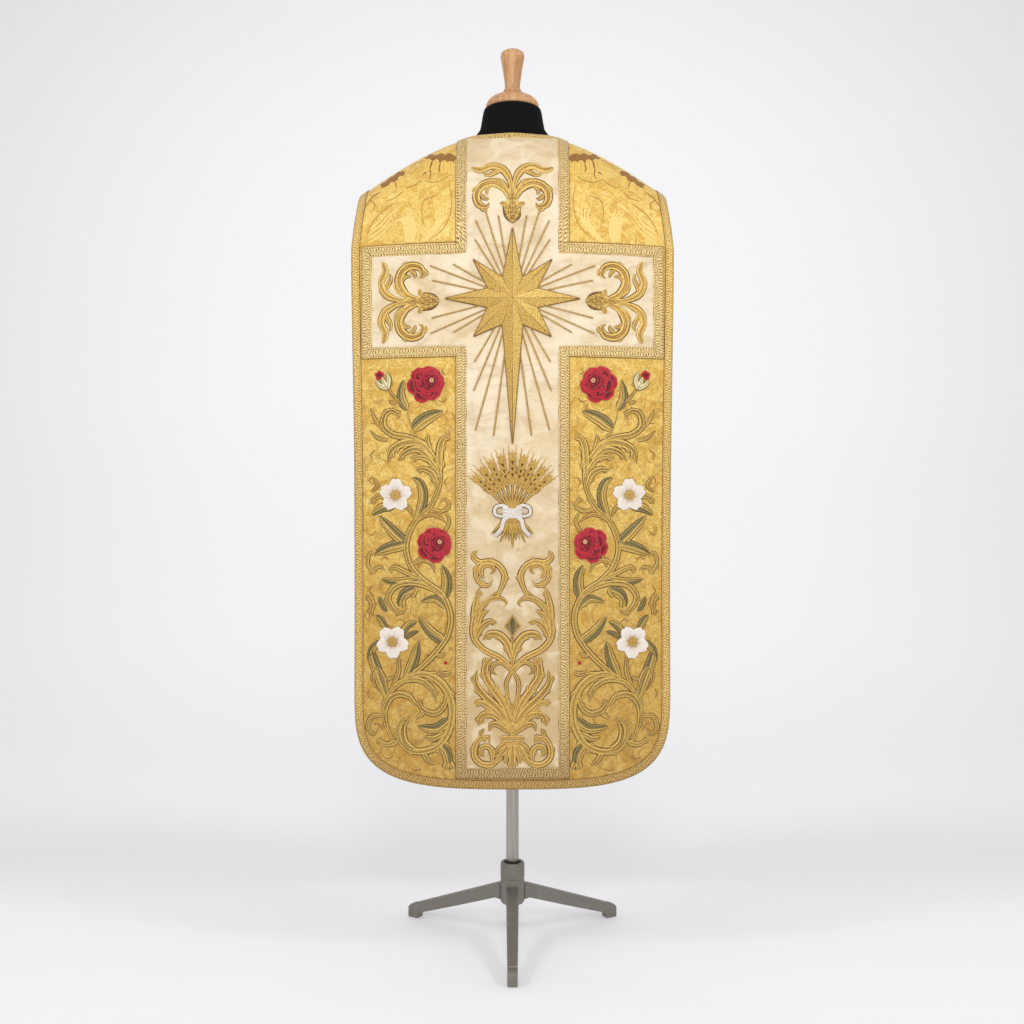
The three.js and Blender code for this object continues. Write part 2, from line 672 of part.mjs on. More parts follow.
// Rings of its shoulders, which follow the shoulder line a small gap below the cloth.
const SHOULDER_RINGS = [
  { half: 183, back: 81, front: 84, gap: REST_GAP },
  { half: 160, back: 75, front: 78, gap: REST_GAP },
  { half: 130, back: 68, front: 71, gap: REST_GAP },
  { half: 100, back: 62, front: 66, gap: REST_GAP },
  { half: 76, back: 58, front: 60, gap: 3.4 },
].map((row) => ({ ...row, z: shoulderZ(row.half) - row.gap }));
const NECK_RINGS = [
  { z: 1408, half: 57, back: 56, front: 57 },
  { z: 1420, half: 54.5, back: 54.5, front: 54.5 },
  { z: 1438, half: 51.5, back: 51.5, front: 51.5 },
  { z: 1444, half: 49.8, back: 49.8, front: 49.8 },
  { z: 1446, half: 47, back: 47, front: 47 },
];
const bustRings = [...BUST, ...SHOULDER_RINGS, ...NECK_RINGS].map(({ z, half, back, front }) =>
  Array.from({ length: BUST_SIDES }, (_, i) => {
    const angle = (i / BUST_SIDES) * Math.PI * 2;
    const depth = Math.sin(angle) < 0 ? back : front;
    return new THREE.Vector3(half * Math.cos(angle), depth * Math.sin(angle), z);
  }),
);
add(dressForm, "bust", "jersey", solidFromRings(bustRings));

const ROUND = 24;
function turned(profile) {
  const geometry = new THREE.LatheGeometry(profile.map(([r, z]) => new THREE.Vector2(r, z)), ROUND);
  return geometry.rotateX(Math.PI / 2);
}

const CAP_FOOT_Z = 1446 + SEAM;
const CAP_TOP_Z = 1473;
const FINIAL_FOOT_Z = CAP_TOP_Z + SEAM;
add(dressForm, "neck_cap", "beech", turned([
  [0, CAP_FOOT_Z], [45.5, CAP_FOOT_Z], [46.8, 1449], [44, 1458.5],
  [38.5, 1464.5], [30, 1469], [18, CAP_TOP_Z], [0, CAP_TOP_Z],
]));
add(dressForm, "finial", "beech", turned([
  [0, FINIAL_FOOT_Z], [15, FINIAL_FOOT_Z], [16, 1475.5], [16, 1479.5], [13.4, 1483], [13.9, 1494],
  [17.5, 1520], [20.4, 1534], [21, 1539.5], [19.5, 1545.5], [13, 1549.5], [0, 1551],
]));

const POLE = { radius: 11, footZ: 75.3 };
const HUB = { radius: 21, lowZ: 60, topZ: 132, boreZ: 75 };
add(dressForm, "pole", "steel", turned([
  [0, POLE.footZ], [POLE.radius, POLE.footZ], [POLE.radius, BUST_FOOT_Z - SEAM], [0, BUST_FOOT_Z - SEAM],
]));
add(dressForm, "hub", "cast_iron", turned([
  [0, HUB.lowZ], [18, HUB.lowZ], [HUB.radius, HUB.lowZ + 4], [HUB.radius, HUB.topZ - 4], [18.5, HUB.topZ],
  [POLE.radius + SEAM, HUB.topZ], [POLE.radius + SEAM, HUB.boreZ], [0, HUB.boreZ],
]));

// A leg runs out from the hub along +X and ends in a foot that stands on the floor.
const LEG = { reach: 217, rootWide: 22, tipWide: 16 };
const LEG_PROFILE = [
  [12, 64], [30, 66], [110, 38], [190, 11], [195, 6], [196, 0], [215, 0],
  [LEG.reach, 3], [LEG.reach, 18], [212, 23], [200, 27], [24, 92.5], [12, 92.5],
];
function legSolid() {
  const shape = new THREE.Shape(LEG_PROFILE.map(([r, z]) => new THREE.Vector2(r, z)));
  const geometry = new THREE.ExtrudeGeometry(shape, { depth: 1, bevelEnabled: false });
  geometry.rotateX(Math.PI / 2).translate(0, 0.5, 0);
  const place = geometry.attributes.position;
  for (let i = 0; i < place.count; i++) {
    const wide = THREE.MathUtils.mapLinear(place.getX(i), 12, LEG.reach, LEG.rootWide, LEG.tipWide);
    place.setY(i, place.getY(i) * wide);
  }
  const hubRoom = turned([[0, 40], [HUB.radius + SEAM, 40], [HUB.radius + SEAM, 150], [0, 150]]);
  return solidOf(geometry).subtract(solidOf(hubRoom));
}
const legGeometry = geometryOf(legSolid());
for (const [name, degrees] of [["leg_back", -90], ["leg_right", 30], ["leg_left", 150]]) {
  add(dressForm, name, "cast_iron", legGeometry).rotation.z = rad(degrees);
}

// ---------------------------------------------------------------- the whole object

// The back foot reaches furthest to -Y and the satin column on the front furthest to +Y.
const FRONT_REACH = HANG[FRONT].depth + ON_PANEL + THICK.satin;
const POLE_Y = (LEG.reach - FRONT_REACH) / 2;

const root = new THREE.Group();
root.add(dressForm, chasuble);
dressForm.position.y = POLE_Y;
chasuble.position.y = POLE_Y;

export default root;
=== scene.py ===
# %% [markdown]
# # A fiddleback chasuble on its stand
#
# A fiddleback chasuble is a stiff, sleeveless vestment of two panels that meet over the shoulders. This one
# has a cream satin cross framed in gold braid, a raised star with rays, and side panels of gold damask with
# embroidered vines. It hangs on a black dress form with a beech finial and a three-legged stand. The cells
# below dress the solid model piece by piece: first a shared description of the cloth's surface, then the
# finishes, then the cloth, the braids, the embroidery, and last the stand, the light and the camera.

import math

import bmesh
import bpy
import numpy as np
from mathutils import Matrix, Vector


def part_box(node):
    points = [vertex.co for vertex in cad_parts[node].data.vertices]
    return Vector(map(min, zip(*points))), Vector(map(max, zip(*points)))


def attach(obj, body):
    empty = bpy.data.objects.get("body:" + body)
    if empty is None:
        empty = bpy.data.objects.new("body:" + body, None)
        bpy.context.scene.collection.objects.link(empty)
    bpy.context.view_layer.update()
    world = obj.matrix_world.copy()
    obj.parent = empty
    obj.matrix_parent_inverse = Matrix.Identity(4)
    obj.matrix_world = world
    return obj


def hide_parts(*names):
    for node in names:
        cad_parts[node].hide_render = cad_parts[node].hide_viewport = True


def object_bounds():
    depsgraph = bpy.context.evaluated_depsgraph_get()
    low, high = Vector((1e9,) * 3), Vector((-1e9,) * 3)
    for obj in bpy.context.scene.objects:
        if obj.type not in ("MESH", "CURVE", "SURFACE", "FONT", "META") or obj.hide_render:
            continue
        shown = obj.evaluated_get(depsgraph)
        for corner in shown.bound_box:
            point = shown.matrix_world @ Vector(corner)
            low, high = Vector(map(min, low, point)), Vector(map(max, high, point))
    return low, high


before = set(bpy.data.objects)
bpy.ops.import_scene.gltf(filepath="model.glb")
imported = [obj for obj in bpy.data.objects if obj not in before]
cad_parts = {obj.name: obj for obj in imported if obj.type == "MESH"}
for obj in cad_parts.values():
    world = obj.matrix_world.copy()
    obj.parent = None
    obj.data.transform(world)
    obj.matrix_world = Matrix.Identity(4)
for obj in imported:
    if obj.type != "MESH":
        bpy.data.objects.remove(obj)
cad_box = [list(corner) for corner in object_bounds()]
MM = 0.001
pole_low, pole_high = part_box("pole")
POLE_Y = (pole_low[1] + pole_high[1]) / 2 / MM
spans = [round(high - low, 3) for low, high in zip(*cad_box)]
print("solid model spans", spans, "m; pole at y =", round(POLE_Y, 2))

# %% [markdown]
# ## The surface that everything lies on
#
# Cloth, braid and embroidery all follow one curved surface, so it is described once, as a function. Below the
# chest line each panel hangs plumb and bows slightly from side to side. Above it the panel turns over the
# shoulder along a rounded arch. A point is given by x and by s, which is the height up to the chest line and
# then runs on evenly over the arch to the shoulder line. Every piece is a flat grid whose points are moved
# to their place on that surface, a stated height above it. A cloth simulation was the other choice, but a
# stiff, heavily lined vestment barely folds, and a formula keeps every layer exactly on the one below.

# %% Surface of the garment, in millimetres round the pole
BACK, FRONT = -1, 1
SHOULDER = {"top": 1401, "drop": 115, "reach": 262, "power": 1.7}
CHEST_Z = 1185
ARCH = 2.4
EDGE_HALF = 263
TURN_SPAN = 270
TOP_S = CHEST_Z + TURN_SPAN
HANG = {
    BACK: {"depth": 124, "sag_chest": 40, "sag_hem": 30, "hem": 288, "corner": 170},
    FRONT: {"depth": 128, "sag_chest": 36, "sag_hem": 26, "hem": 348, "corner": 160},
}
NECK = {"half": 79, "back": 62, "front": 92, "power": 2.5}
SEAM = 0.3
PANEL_WALL = 2.4
ON_PANEL = PANEL_WALL + SEAM
SATIN_WALL = 1.2
ON_SATIN = ON_PANEL + SATIN_WALL + SEAM
# widths of the wide braid, of the narrow braid and, as seen from above, of the neck's tape
WIDE, NARROW, NECK_TAPE = 19.0, 14.5, 13.0


def hang(side, key):
    return np.where(np.asarray(side) < 0, HANG[BACK][key], HANG[FRONT][key])


def shoulder_z(x):
    return SHOULDER["top"] - SHOULDER["drop"] * (np.abs(x) / SHOULDER["reach"]) ** SHOULDER["power"]


def depth_at(side, x, z):
    down = np.clip((CHEST_Z - z) / (CHEST_Z - hang(side, "hem")), 0, 1)
    eased = down * down * (3 - 2 * down)
    sag = hang(side, "sag_chest") + (hang(side, "sag_hem") - hang(side, "sag_chest")) * eased
    return hang(side, "depth") - sag * (x / EDGE_HALF) ** 2


def hung(side, x, s):
    """Points of the cloth's inner surface."""
    turn = np.clip((s - CHEST_Z) / TURN_SPAN, 0, 1) * math.pi / 2
    rise = (shoulder_z(x) - CHEST_Z) * np.sin(turn) ** (2 / ARCH)
    z = np.where(s > CHEST_Z, CHEST_Z + rise, s)
    out = depth_at(side, x, np.minimum(z, CHEST_Z)) * np.maximum(np.cos(turn), 1e-12) ** (2 / ARCH)
    return np.stack([x, side * out, z], axis=1)


def outwards(side, points):
    """Unit normals of the surface, from how fast its formula changes in each direction."""

    def shell(p):
        across = np.abs(p[:, 1]) / depth_at(side, p[:, 0], p[:, 2])
        up = np.maximum(p[:, 2] - CHEST_Z, 0) / (shoulder_z(p[:, 0]) - CHEST_Z)
        return across**ARCH + up**ARCH

    slope = np.stack([shell(points + step) - shell(points - step) for step in 0.05 * np.eye(3)], axis=1)
    return slope / np.linalg.norm(slope, axis=1, keepdims=True)


def drape(side, x, s):
    """The slow unevenness of hanging cloth, which dies out where it lies on the shoulders."""
    loose = np.clip((CHEST_Z + 60 - s) / 500, 0, 1)
    slow = np.sin(x / 61 + s / 310 + side) + 0.7 * np.sin(x / 37 - s / 205 + 2 * side)
    waves = slow + 0.5 * np.sin(s / 72 + x / 150)
    return 0.8 * loose * waves


def cloth(side, x, s, height):
    """Points in metres at a height above the cloth's inner surface."""
    x, s = np.broadcast_arrays(np.asarray(x, float), np.asarray(s, float))
    points = hung(side, x, s)
    points = points + outwards(side, points) * np.reshape(height + drape(side, x, s), (-1, 1))
    points[:, 1] += POLE_Y
    return points * MM


def s_of_height(x, z):
    """Where on the cloth a height lies."""
    share = np.clip((z - CHEST_Z) / (shoulder_z(x) - CHEST_Z), 0, 1)
    return np.where(z > CHEST_Z, CHEST_Z + TURN_SPAN * np.arcsin(share ** (ARCH / 2)) * 2 / math.pi, z)


def s_of_plan(side, x, y):
    """Where on the shoulders a point seen from above lies."""
    share = np.clip(np.abs(y) / depth_at(side, x, CHEST_Z), 0, 1)
    return CHEST_Z + TURN_SPAN * np.arccos(share ** (ARCH / 2)) * 2 / math.pi


def neck_s(side, x, grow):
    """Where the neck opening, grown by some width, cuts the cloth at x."""
    inside = np.clip(1 - (np.abs(x) / (NECK["half"] + grow)) ** NECK["power"], 0, 1)
    y = (np.where(np.asarray(side) < 0, NECK["back"], NECK["front"]) + grow) * inside ** (1 / NECK["power"])
    return s_of_plan(side, x, y)


spots = cloth(BACK, np.array([0.0, 260.0]), np.array([700.0, 1185.0]), PANEL_WALL)
print("back panel's face at its middle and its side:", spots.round(4).tolist())

# %% [markdown]
# ## Tools for making pieces
#
# A piece starts as one or more bmesh grids. Each grid's points carry two shares from 0 to 1, and a function
# turns these into a place on the garment and a UV in metres, so that weave and stitches keep their size. Two
# numbers are stored with each point for the finishes: rim, which is 1 along a stroke's edges, and tone, which
# makes one leaf a little lighter than the next; on the star's facets tone carries painted light and shade,
# and on petals the strength of the painted shade at their roots.

# %% Grids, smooth lines and finished pieces
def start():
    bm = bmesh.new()
    bm.loops.layers.uv.new("thread")
    bm.verts.layers.float.new("rim")
    bm.verts.layers.float.new("tone")
    return bm


def add_grid(bm, across, up, place, material=0):
    """Adds a grid; place takes two arrays of shares and returns points, UVs, rims and tones."""
    made = bmesh.ops.create_grid(bm, x_segments=across - 1, y_segments=up - 1, size=0.5)["verts"]
    shares = np.array([v.co[:2] for v in made]) + 0.5
    points, uvs, rims, tones = place(shares[:, 0], shares[:, 1])
    uv_layer = bm.loops.layers.uv["thread"]
    rim_layer = bm.verts.layers.float["rim"]
    tone_layer = bm.verts.layers.float["tone"]
    rims, tones = (np.broadcast_to(numbers, len(made)) for numbers in (rims, tones))
    for v, point, uv, rim, shade in zip(made, points, uvs, rims, tones):
        v.co = point
        v[rim_layer] = rim
        v[tone_layer] = shade
        for loop in v.link_loops:
            loop[uv_layer].uv = uv
            loop.face.material_index = material


def smooth_line(points, shares):
    """Points at some shares of the way along a smooth line through the given ones."""
    knots = np.array(points, float)
    last = len(knots) - 1
    where = np.clip(shares, 0, 1) * last
    i = np.minimum(where.astype(int), last - 1)
    f = (where - i)[:, None]
    before, after = knots[np.maximum(i - 1, 0)], knots[np.minimum(i + 2, last)]
    a, b = knots[i], knots[i + 1]
    v0, v1 = (b - before) / 2, (after - a) / 2
    return (2 * a - 2 * b + v0 + v1) * f**3 + (3 * b - 3 * a - 2 * v0 - v1) * f**2 + v0 * f + a


def finish_piece(bm, name, finishes, slot, stands_for=(), wall=0.0, inner=0, flip=False):
    """Makes the object, gives it its wall and finishes, and ties it to the frame."""
    if flip:
        bmesh.ops.reverse_faces(bm, faces=bm.faces)
    mesh = bpy.data.meshes.new(name)
    bm.to_mesh(mesh)
    bm.free()
    mesh.shade_smooth()
    for finish in finishes:
        mesh.materials.append(finish)
    obj = bpy.data.objects.new(name, mesh)
    bpy.context.scene.collection.objects.link(obj)
    if wall:
        solid = obj.modifiers.new("wall", "SOLIDIFY")
        solid.thickness = wall * MM
        solid.offset = -1
        solid.material_offset = inner
    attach(obj, "root")
    if stands_for:
        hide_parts(*stands_for)
    return obj


def sheet_area(obj):
    """The area of one face of a piece, before its wall is added, in square metres."""
    return sum(face.area for face in obj.data.polygons)


# %% [markdown]
# ## Writing finishes as sums
#
# A finish is a set of shader nodes. Wiring dozens of Math nodes by hand hides what they work out, so a small
# class stands for one value of a finish, and arithmetic on it adds the nodes. All other nodes come from one
# method. Patterns on cloth read its UV, because they must follow the weave; wood and metal read Object
# coordinates, which don't stretch.

# %% Finish and Value
class Value:
    """One value inside a finish. Sums with it add Math nodes."""

    def __init__(self, finish, socket):
        self.finish = finish
        self.socket = socket

    def math(self, operation, *values):
        return self.finish.node("ShaderNodeMath", {"operation": operation}, *values)

    def __add__(self, other):
        return self.math("ADD", self, other)

    def __radd__(self, other):
        return self.math("ADD", other, self)

    def __sub__(self, other):
        return self.math("SUBTRACT", self, other)

    def __rsub__(self, other):
        return self.math("SUBTRACT", other, self)

    def __mul__(self, other):
        return self.math("MULTIPLY", self, other)

    def __rmul__(self, other):
        return self.math("MULTIPLY", other, self)

    def __truediv__(self, other):
        return self.math("DIVIDE", self, other)

    def sine(self):
        return self.math("SINE", self)

    def ramp(self, low, high):
        """0 at low and below, 1 at high and above, and smooth between."""
        settings = {"interpolation_type": "SMOOTHSTEP"}
        return self.finish.node("ShaderNodeMapRange", settings, self, low, high, 0.0, 1.0)


class Finish:
    """A material under construction."""

    def __init__(self, name, rough=0.6, metal=0.0, sheen=0.0):
        self.material = bpy.data.materials.new(name)
        self.material.use_nodes = True
        self.tree = self.material.node_tree
        self.surface = self.tree.nodes["Principled BSDF"]
        self.surface.inputs["Roughness"].default_value = rough
        self.surface.inputs["Metallic"].default_value = metal
        self.surface.inputs["Sheen Weight"].default_value = sheen

    def node(self, kind, settings, *values, out=0):
        made = self.tree.nodes.new(kind)
        for key, setting in settings.items():
            setattr(made, key, setting)
        self.feed(made, enumerate(values))
        return Value(self, made.outputs[out])

    def feed(self, made, pairs):
        for key, value in pairs:
            if isinstance(value, Value):
                self.tree.links.new(value.socket, made.inputs[key])
            elif value is not None:
                made.inputs[key].default_value = value

    def thread(self):
        """The piece's own UV, in metres, as a vector and its two parts."""
        uv = self.node("ShaderNodeUVMap", {"uv_map": "thread"})
        across = self.node("ShaderNodeSeparateXYZ", {}, uv, out=0)
        along = self.node("ShaderNodeSeparateXYZ", {}, uv, out=1)
        return uv, across, along

    def place(self):
        """The point's own place on the object, in metres, and its height."""
        spot = self.node("ShaderNodeTexCoord", {}, out=3)
        return spot, self.node("ShaderNodeSeparateXYZ", {}, spot, out=2)

    def stored(self, name):
        return self.node("ShaderNodeAttribute", {"attribute_name": name}, out=2)

    def noise(self, vector, scale, detail=2.0, distortion=0.0):
        settings = (scale, detail, 0.5, 2.0, None, None, distortion)
        return self.node("ShaderNodeTexNoise", {}, vector, None, *settings)

    def stretched(self, vector, x, y, z=1.0):
        return self.node("ShaderNodeVectorMath", {"operation": "MULTIPLY"}, vector, (x, y, z))

    def mix(self, share, a, b):
        """Between two colours."""
        made = self.tree.nodes.new("ShaderNodeMix")
        made.data_type = "RGBA"
        self.feed(made, [(0, share), (6, a), (7, b)])
        return Value(self, made.outputs[2])

    def colour(self, value):
        self.feed(self.surface, [("Base Color", value)])

    def rough(self, value):
        self.feed(self.surface, [("Roughness", value)])

    def bump(self, height, strength, depth_mm):
        made = self.tree.nodes.new("ShaderNodeBump")
        self.feed(made, [("Strength", strength), ("Distance", depth_mm * MM), ("Height", height)])
        self.feed(self.surface, [("Normal", Value(self, made.outputs[0]))])


def paint(red, green, blue):
    """A colour given as it looks on a screen, 0 to 255, turned into the light values that shaders use."""
    shares = [c / 255 for c in (red, green, blue)]
    light = [((c + 0.055) / 1.055) ** 2.4 if c > 0.04 else c / 12.92 for c in shares]
    return (*light, 1.0)


# %% [markdown]
# ## The woven finishes
#
# Damask shows a pattern because some of its threads lie the other way and catch the light: warped noise with
# a narrow threshold gives such leafy patches with crisp borders, and the ground gets painted shade towards
# the hem. Satin is plain but for slow changes of tone and fine puckers, with painted shade in its creases,
# painted highlights on its puffs, and painted shade towards the hem and over the shoulders. Braid is a narrow
# tape of speckled zigzags between two dark edge lines, with painted shade low down and over the shoulders.

# %% Damask, satin, braid and the plain inside
GROUND, LEAF, GLINT, DAMASK_SHADE = (
    paint(228, 182, 80), paint(242, 202, 102), paint(255, 228, 138), paint(152, 106, 38))
CREAM_LIGHT, CREAM_MIDDLE, CREAM_SHADE = paint(246, 228, 196), paint(238, 214, 172), paint(204, 172, 118)
# a painted highlight colour for the tops of the satin's puffs
CREAM_HIGHLIGHT = paint(252, 238, 208)


def make_damask():
    f = Finish("gold_damask", rough=0.55, metal=0.1, sheen=0.1)
    uv, across, along = f.thread()
    wander = f.node("ShaderNodeTexNoise", {}, uv, None, 9.0, 2.0, out=1)
    bent = f.node("ShaderNodeVectorMath", {"operation": "MULTIPLY_ADD"}, wander, (0.09, 0.09, 0.0), uv)
    leafy = f.noise(bent, 34.0, 3.0, 1.2).ramp(0.44, 0.56)
    glints = f.noise(bent, 62.0, 3.0, 1.8).ramp(0.5, 0.64)
    below = along.ramp(1.02, 0.9)
    shade = f.noise(bent, 30.0, 4.0, 2.2).ramp(0.48, 0.64) * below
    twill = ((across + along) * 5200.0).sine() * 0.5 + 0.5
    speck = f.noise(uv, 330.0, 2.0)
    base = f.mix(leafy, GROUND, LEAF)
    base = f.mix(glints * 0.6, base, GLINT)
    base = f.mix(shade * 0.34, base, DAMASK_SHADE)
    base = f.mix((speck - 0.5) * 2.6, base, DAMASK_SHADE)
    wave = f.noise(bent, 24.0, 1.5, 1.2) - 0.5
    drawn = wave.math("ABSOLUTE", wave)
    base = f.mix(drawn.ramp(0.012, 0.003) * below * 0.5, base, DAMASK_SHADE)
    # painted shade: the damask darkens towards the hem, where less light reaches it
    base = f.mix(along.ramp(0.95, 0.3) * 0.45, base, DAMASK_SHADE)
    f.colour(base)
    f.rough(0.6 - leafy * 0.12 - glints * 0.1)
    f.bump(twill * 0.4 + speck + leafy * 0.5, 0.35, 0.25)
    return f.material


def make_satin():
    f = Finish("cream_satin", rough=0.5, sheen=0.1)
    uv, _, along = f.thread()
    crease = f.noise(f.stretched(uv, 16.0, 36.0), 1.0, 3.0, 1.4)
    slow = f.noise(uv, 9.0, 2.0)
    weave = f.noise(f.stretched(uv, 300.0, 900.0), 1.0, 2.0)
    base = f.mix(slow.ramp(0.35, 0.7), CREAM_LIGHT, CREAM_MIDDLE)
    # painted shade in the creases
    base = f.mix(crease.ramp(0.48, 0.7) * 0.42, base, CREAM_SHADE)
    base = f.mix((weave - 0.5) * 1.1, base, CREAM_SHADE)
    # painted shade: darker towards the hem
    base = f.mix(along.ramp(1.0, 0.4) * 0.85, base, CREAM_SHADE)
    # painted shade where the satin turns over the shoulders, away from the light
    base = f.mix(along.ramp(1.2, 1.36) * 0.45, base, CREAM_SHADE)
    puff = f.noise(uv, 26.0, 3.0, 0.6)
    # painted highlights on the tops of the puffs, and painted shade between them
    base = f.mix(puff.ramp(0.5, 0.62) * 0.4, base, CREAM_HIGHLIGHT)
    base = f.mix(puff.ramp(0.44, 0.36) * 0.25, base, CREAM_SHADE)
    f.colour(base)
    f.bump(crease * 4.0 + puff * 3.0 + weave * 0.12, 0.8, 0.9)
    return f.material


def make_braid(name, width, repeat, cream, gold, brown, bold=0.55):
    """width and repeat are in millimetres; bold is how dark the zigzag's shadow is in the middle."""
    f = Finish(name, rough=0.5, metal=0.15, sheen=0.1)
    uv, across, along = f.thread()
    jitter = f.noise(f.stretched(uv, 230.0, 230.0), 1.0, 2.0)
    fold = f.node("ShaderNodeMath", {"operation": "PINGPONG"}, across / (width * MM) * 3.0, 1.0)
    herring = ((along / (repeat * MM) + fold * 0.75 + jitter * 0.5) * math.tau).sine()
    speck = f.noise(uv, 520.0, 1.0)
    rim = f.stored("rim")
    middle = 1.0 - rim.ramp(0.6, 0.66)
    base = f.mix((herring * 0.5 + (speck - 0.5) * 4.0).ramp(-0.5, 0.35), gold, cream)
    shadow = ((0.5 - speck) * 4.0 - herring * 0.5).ramp(0.0, 0.4)
    base = f.mix(shadow * (0.3 + middle * bold), base, brown)
    base = f.mix(rim.ramp(0.6, 0.65) * (1.0 - rim.ramp(0.68, 0.73)) * 0.7, base, brown)
    base = f.mix(rim.ramp(0.86, 0.93) * 0.85, base, brown)
    _, height = f.place()
    # painted shade: the braid darkens below the chest, over the shoulders, and most near the hem
    base = f.mix(height.ramp(1.0, 0.8) * 0.12 + height.ramp(1.19, 1.26) * 0.08, base, brown)
    base = f.mix(height.ramp(0.45, 0.29) * 0.4, base, brown)
    f.colour(base)
    f.bump(herring * 0.6 + speck, 0.6, 0.4)
    return f.material


def make_inside():
    f = Finish("inside_cloth", rough=0.8)
    uv, _, _ = f.thread()
    slub = f.noise(f.stretched(uv, 300.0, 1500.0), 1.0, 2.0)
    f.colour(f.mix(slub, paint(176, 138, 78), paint(206, 168, 104)))
    f.bump(slub, 0.3, 0.2)
    return f.material


DAMASK = make_damask()
SATIN = make_satin()
WIDE_COLOURS = (paint(255, 230, 160), paint(218, 166, 80), paint(106, 60, 14))
WIDE_BRAID = make_braid("wide_braid", WIDE, 4.6, *WIDE_COLOURS)
NARROW_COLOURS = (paint(252, 218, 132), paint(216, 164, 72), paint(106, 62, 14))
NARROW_BRAID = make_braid("narrow_braid", NARROW, 4.5, *NARROW_COLOURS, bold=0.25)
INSIDE = make_inside()
print("woven finishes:", [m.name for m in (DAMASK, SATIN, WIDE_BRAID, NARROW_BRAID, INSIDE)])

# %% [markdown]
# ## The two panels
#
# Each panel is one grid. Its columns fan out to the panel's own side edges and start from its rounded hem, so
# the grid's border is the cut of the cloth and nothing needs trimming. The columns are set closer towards the
# sides, where the hem's corner is round. A Solidify modifier gives the wall, whose inner face takes a plain
# finish.

# %% Cut of the panels
SIDES = {BACK: "back", FRONT: "front"}
# height and half width, from the shoulder down to where the hem's round corner starts
EDGES = {
    BACK: [
        (1300, 258.5), (1250, 261.5), (1205, 267), (1165, 269.5),
        (1030, 267.5), (830, 264), (630, 262.3), (458, 262.3),
    ],
    FRONT: [
        (1300, 258.5), (1262, 240), (1210, 214), (1140, 202),
        (1040, 202), (880, 215), (700, 230), (508, 238),
    ],
}
HEM_POWER = 3.8


def half_width(side, z):
    line = smooth_line(EDGES[side], np.linspace(1, 0, 200))
    return np.interp(z, line[:, 0], line[:, 1])


def hem_height(side, share):
    inside = np.clip(1 - np.abs(share) ** HEM_POWER, 0, 1)
    return HANG[side]["hem"] + HANG[side]["corner"] * (1 - inside ** (1 / HEM_POWER))


def width_share(side, share, s):
    """x for a share of the panel's half width at s."""
    x = share * 262.0
    for _ in range(3):
        x = share * half_width(side, hung(side, x, s)[:, 2])
    return x


def add_panel(side):
    bm = start()

    def place(u, v):
        share = np.sin((u - 0.5) * math.pi)
        low = hem_height(side, share)
        x = width_share(side, share, low + v * (TOP_S - low))
        s = low + v * (neck_s(side, x, 3.0) - low)
        x = width_share(side, share, s)
        s = low + v * (neck_s(side, x, 3.0) - low)
        return cloth(side, x, s, PANEL_WALL), np.stack([x, s], 1) * MM, 0.0, 0.5

    add_grid(bm, 111, 231, place)
    name, node = f"{SIDES[side]}_cloth", f"{SIDES[side]}_panel"
    return finish_piece(bm, name, [DAMASK, INSIDE], "damask", [node], PANEL_WALL, 1, side == FRONT)


back_cloth = add_panel(BACK)
front_cloth = add_panel(FRONT)
print("panels' faces:", [round(sheet_area(panel), 3) for panel in (back_cloth, front_cloth)], "square metres")

# %% [markdown]
# ## The satin cross and the front column
#
# The cross is a stem and two arms. Each is a grid with its rows at the same heights, so the three join edge
# to edge when their doubled points are merged. The column down the front is the stem alone. Both run up
# under the neck's braid.

# %% Satin
CROSS = {"stem": 93.8, "arm": 252.3, "arm_low": 998.0, "arm_top": 1186.0, "foot": 304.7}
COLUMN = {"stem": 88.0, "foot": 364.6}
TUCK = 2.0


def limb_s(side, x, s, grow=7.0):
    """Above the arms, heights are shared out up to where the neck's braid covers the limb's end."""
    reach = (neck_s(side, x, grow) - CROSS["arm_top"]) / (TOP_S - CROSS["arm_top"])
    return np.where(s > CROSS["arm_top"], CROSS["arm_top"] + (s - CROSS["arm_top"]) * reach, s)


def add_satin(bm, side, xs, heights):
    def place(u, v):
        x = np.interp(u, np.linspace(0, 1, len(xs)), xs)
        s = limb_s(side, x, np.interp(v, np.linspace(0, 1, len(heights)), heights))
        pucker = 0.22 * np.sin(s / 9 + 2.2 * np.sin(x / 34)) * np.sin(s / 41 + x / 57)
        return cloth(side, x, s, ON_PANEL + SATIN_WALL + pucker), np.stack([x, s], 1) * MM, 0.0, 0.5

    add_grid(bm, len(xs), len(heights), place)


def satin_cross():
    bm = start()
    stem = CROSS["stem"] - WIDE + TUCK
    arm_rows = np.linspace(CROSS["arm_low"] + WIDE - TUCK, CROSS["arm_top"] - WIDE + TUCK, 31)
    below = np.linspace(CROSS["foot"] + WIDE - TUCK, arm_rows[0], 131)[:-1]
    above = np.linspace(arm_rows[-1], TOP_S, 56)[1:]
    add_satin(bm, BACK, np.linspace(-stem, stem, 37), [*below, *arm_rows, *above])
    tip = CROSS["arm"] - WIDE + TUCK
    add_satin(bm, BACK, np.linspace(stem, tip, 31), arm_rows)
    add_satin(bm, BACK, np.linspace(-tip, -stem, 31), arm_rows)
    bmesh.ops.remove_doubles(bm, verts=bm.verts, dist=1e-6)
    return finish_piece(bm, "cross_satin", [SATIN], "satin", ["back_cross"], SATIN_WALL)


def satin_column():
    bm = start()
    stem = COLUMN["stem"] - WIDE + TUCK
    heights = np.linspace(COLUMN["foot"] + WIDE - TUCK, TOP_S, 201)
    add_satin(bm, FRONT, np.linspace(-stem, stem, 31), heights)
    return finish_piece(bm, "column_satin", [SATIN], "satin", ["front_column"], SATIN_WALL, 0, True)


cross_satin = satin_cross()
column_satin = satin_column()
print("satin:", [round(sheet_area(satin), 3) for satin in (cross_satin, column_satin)], "square metres")

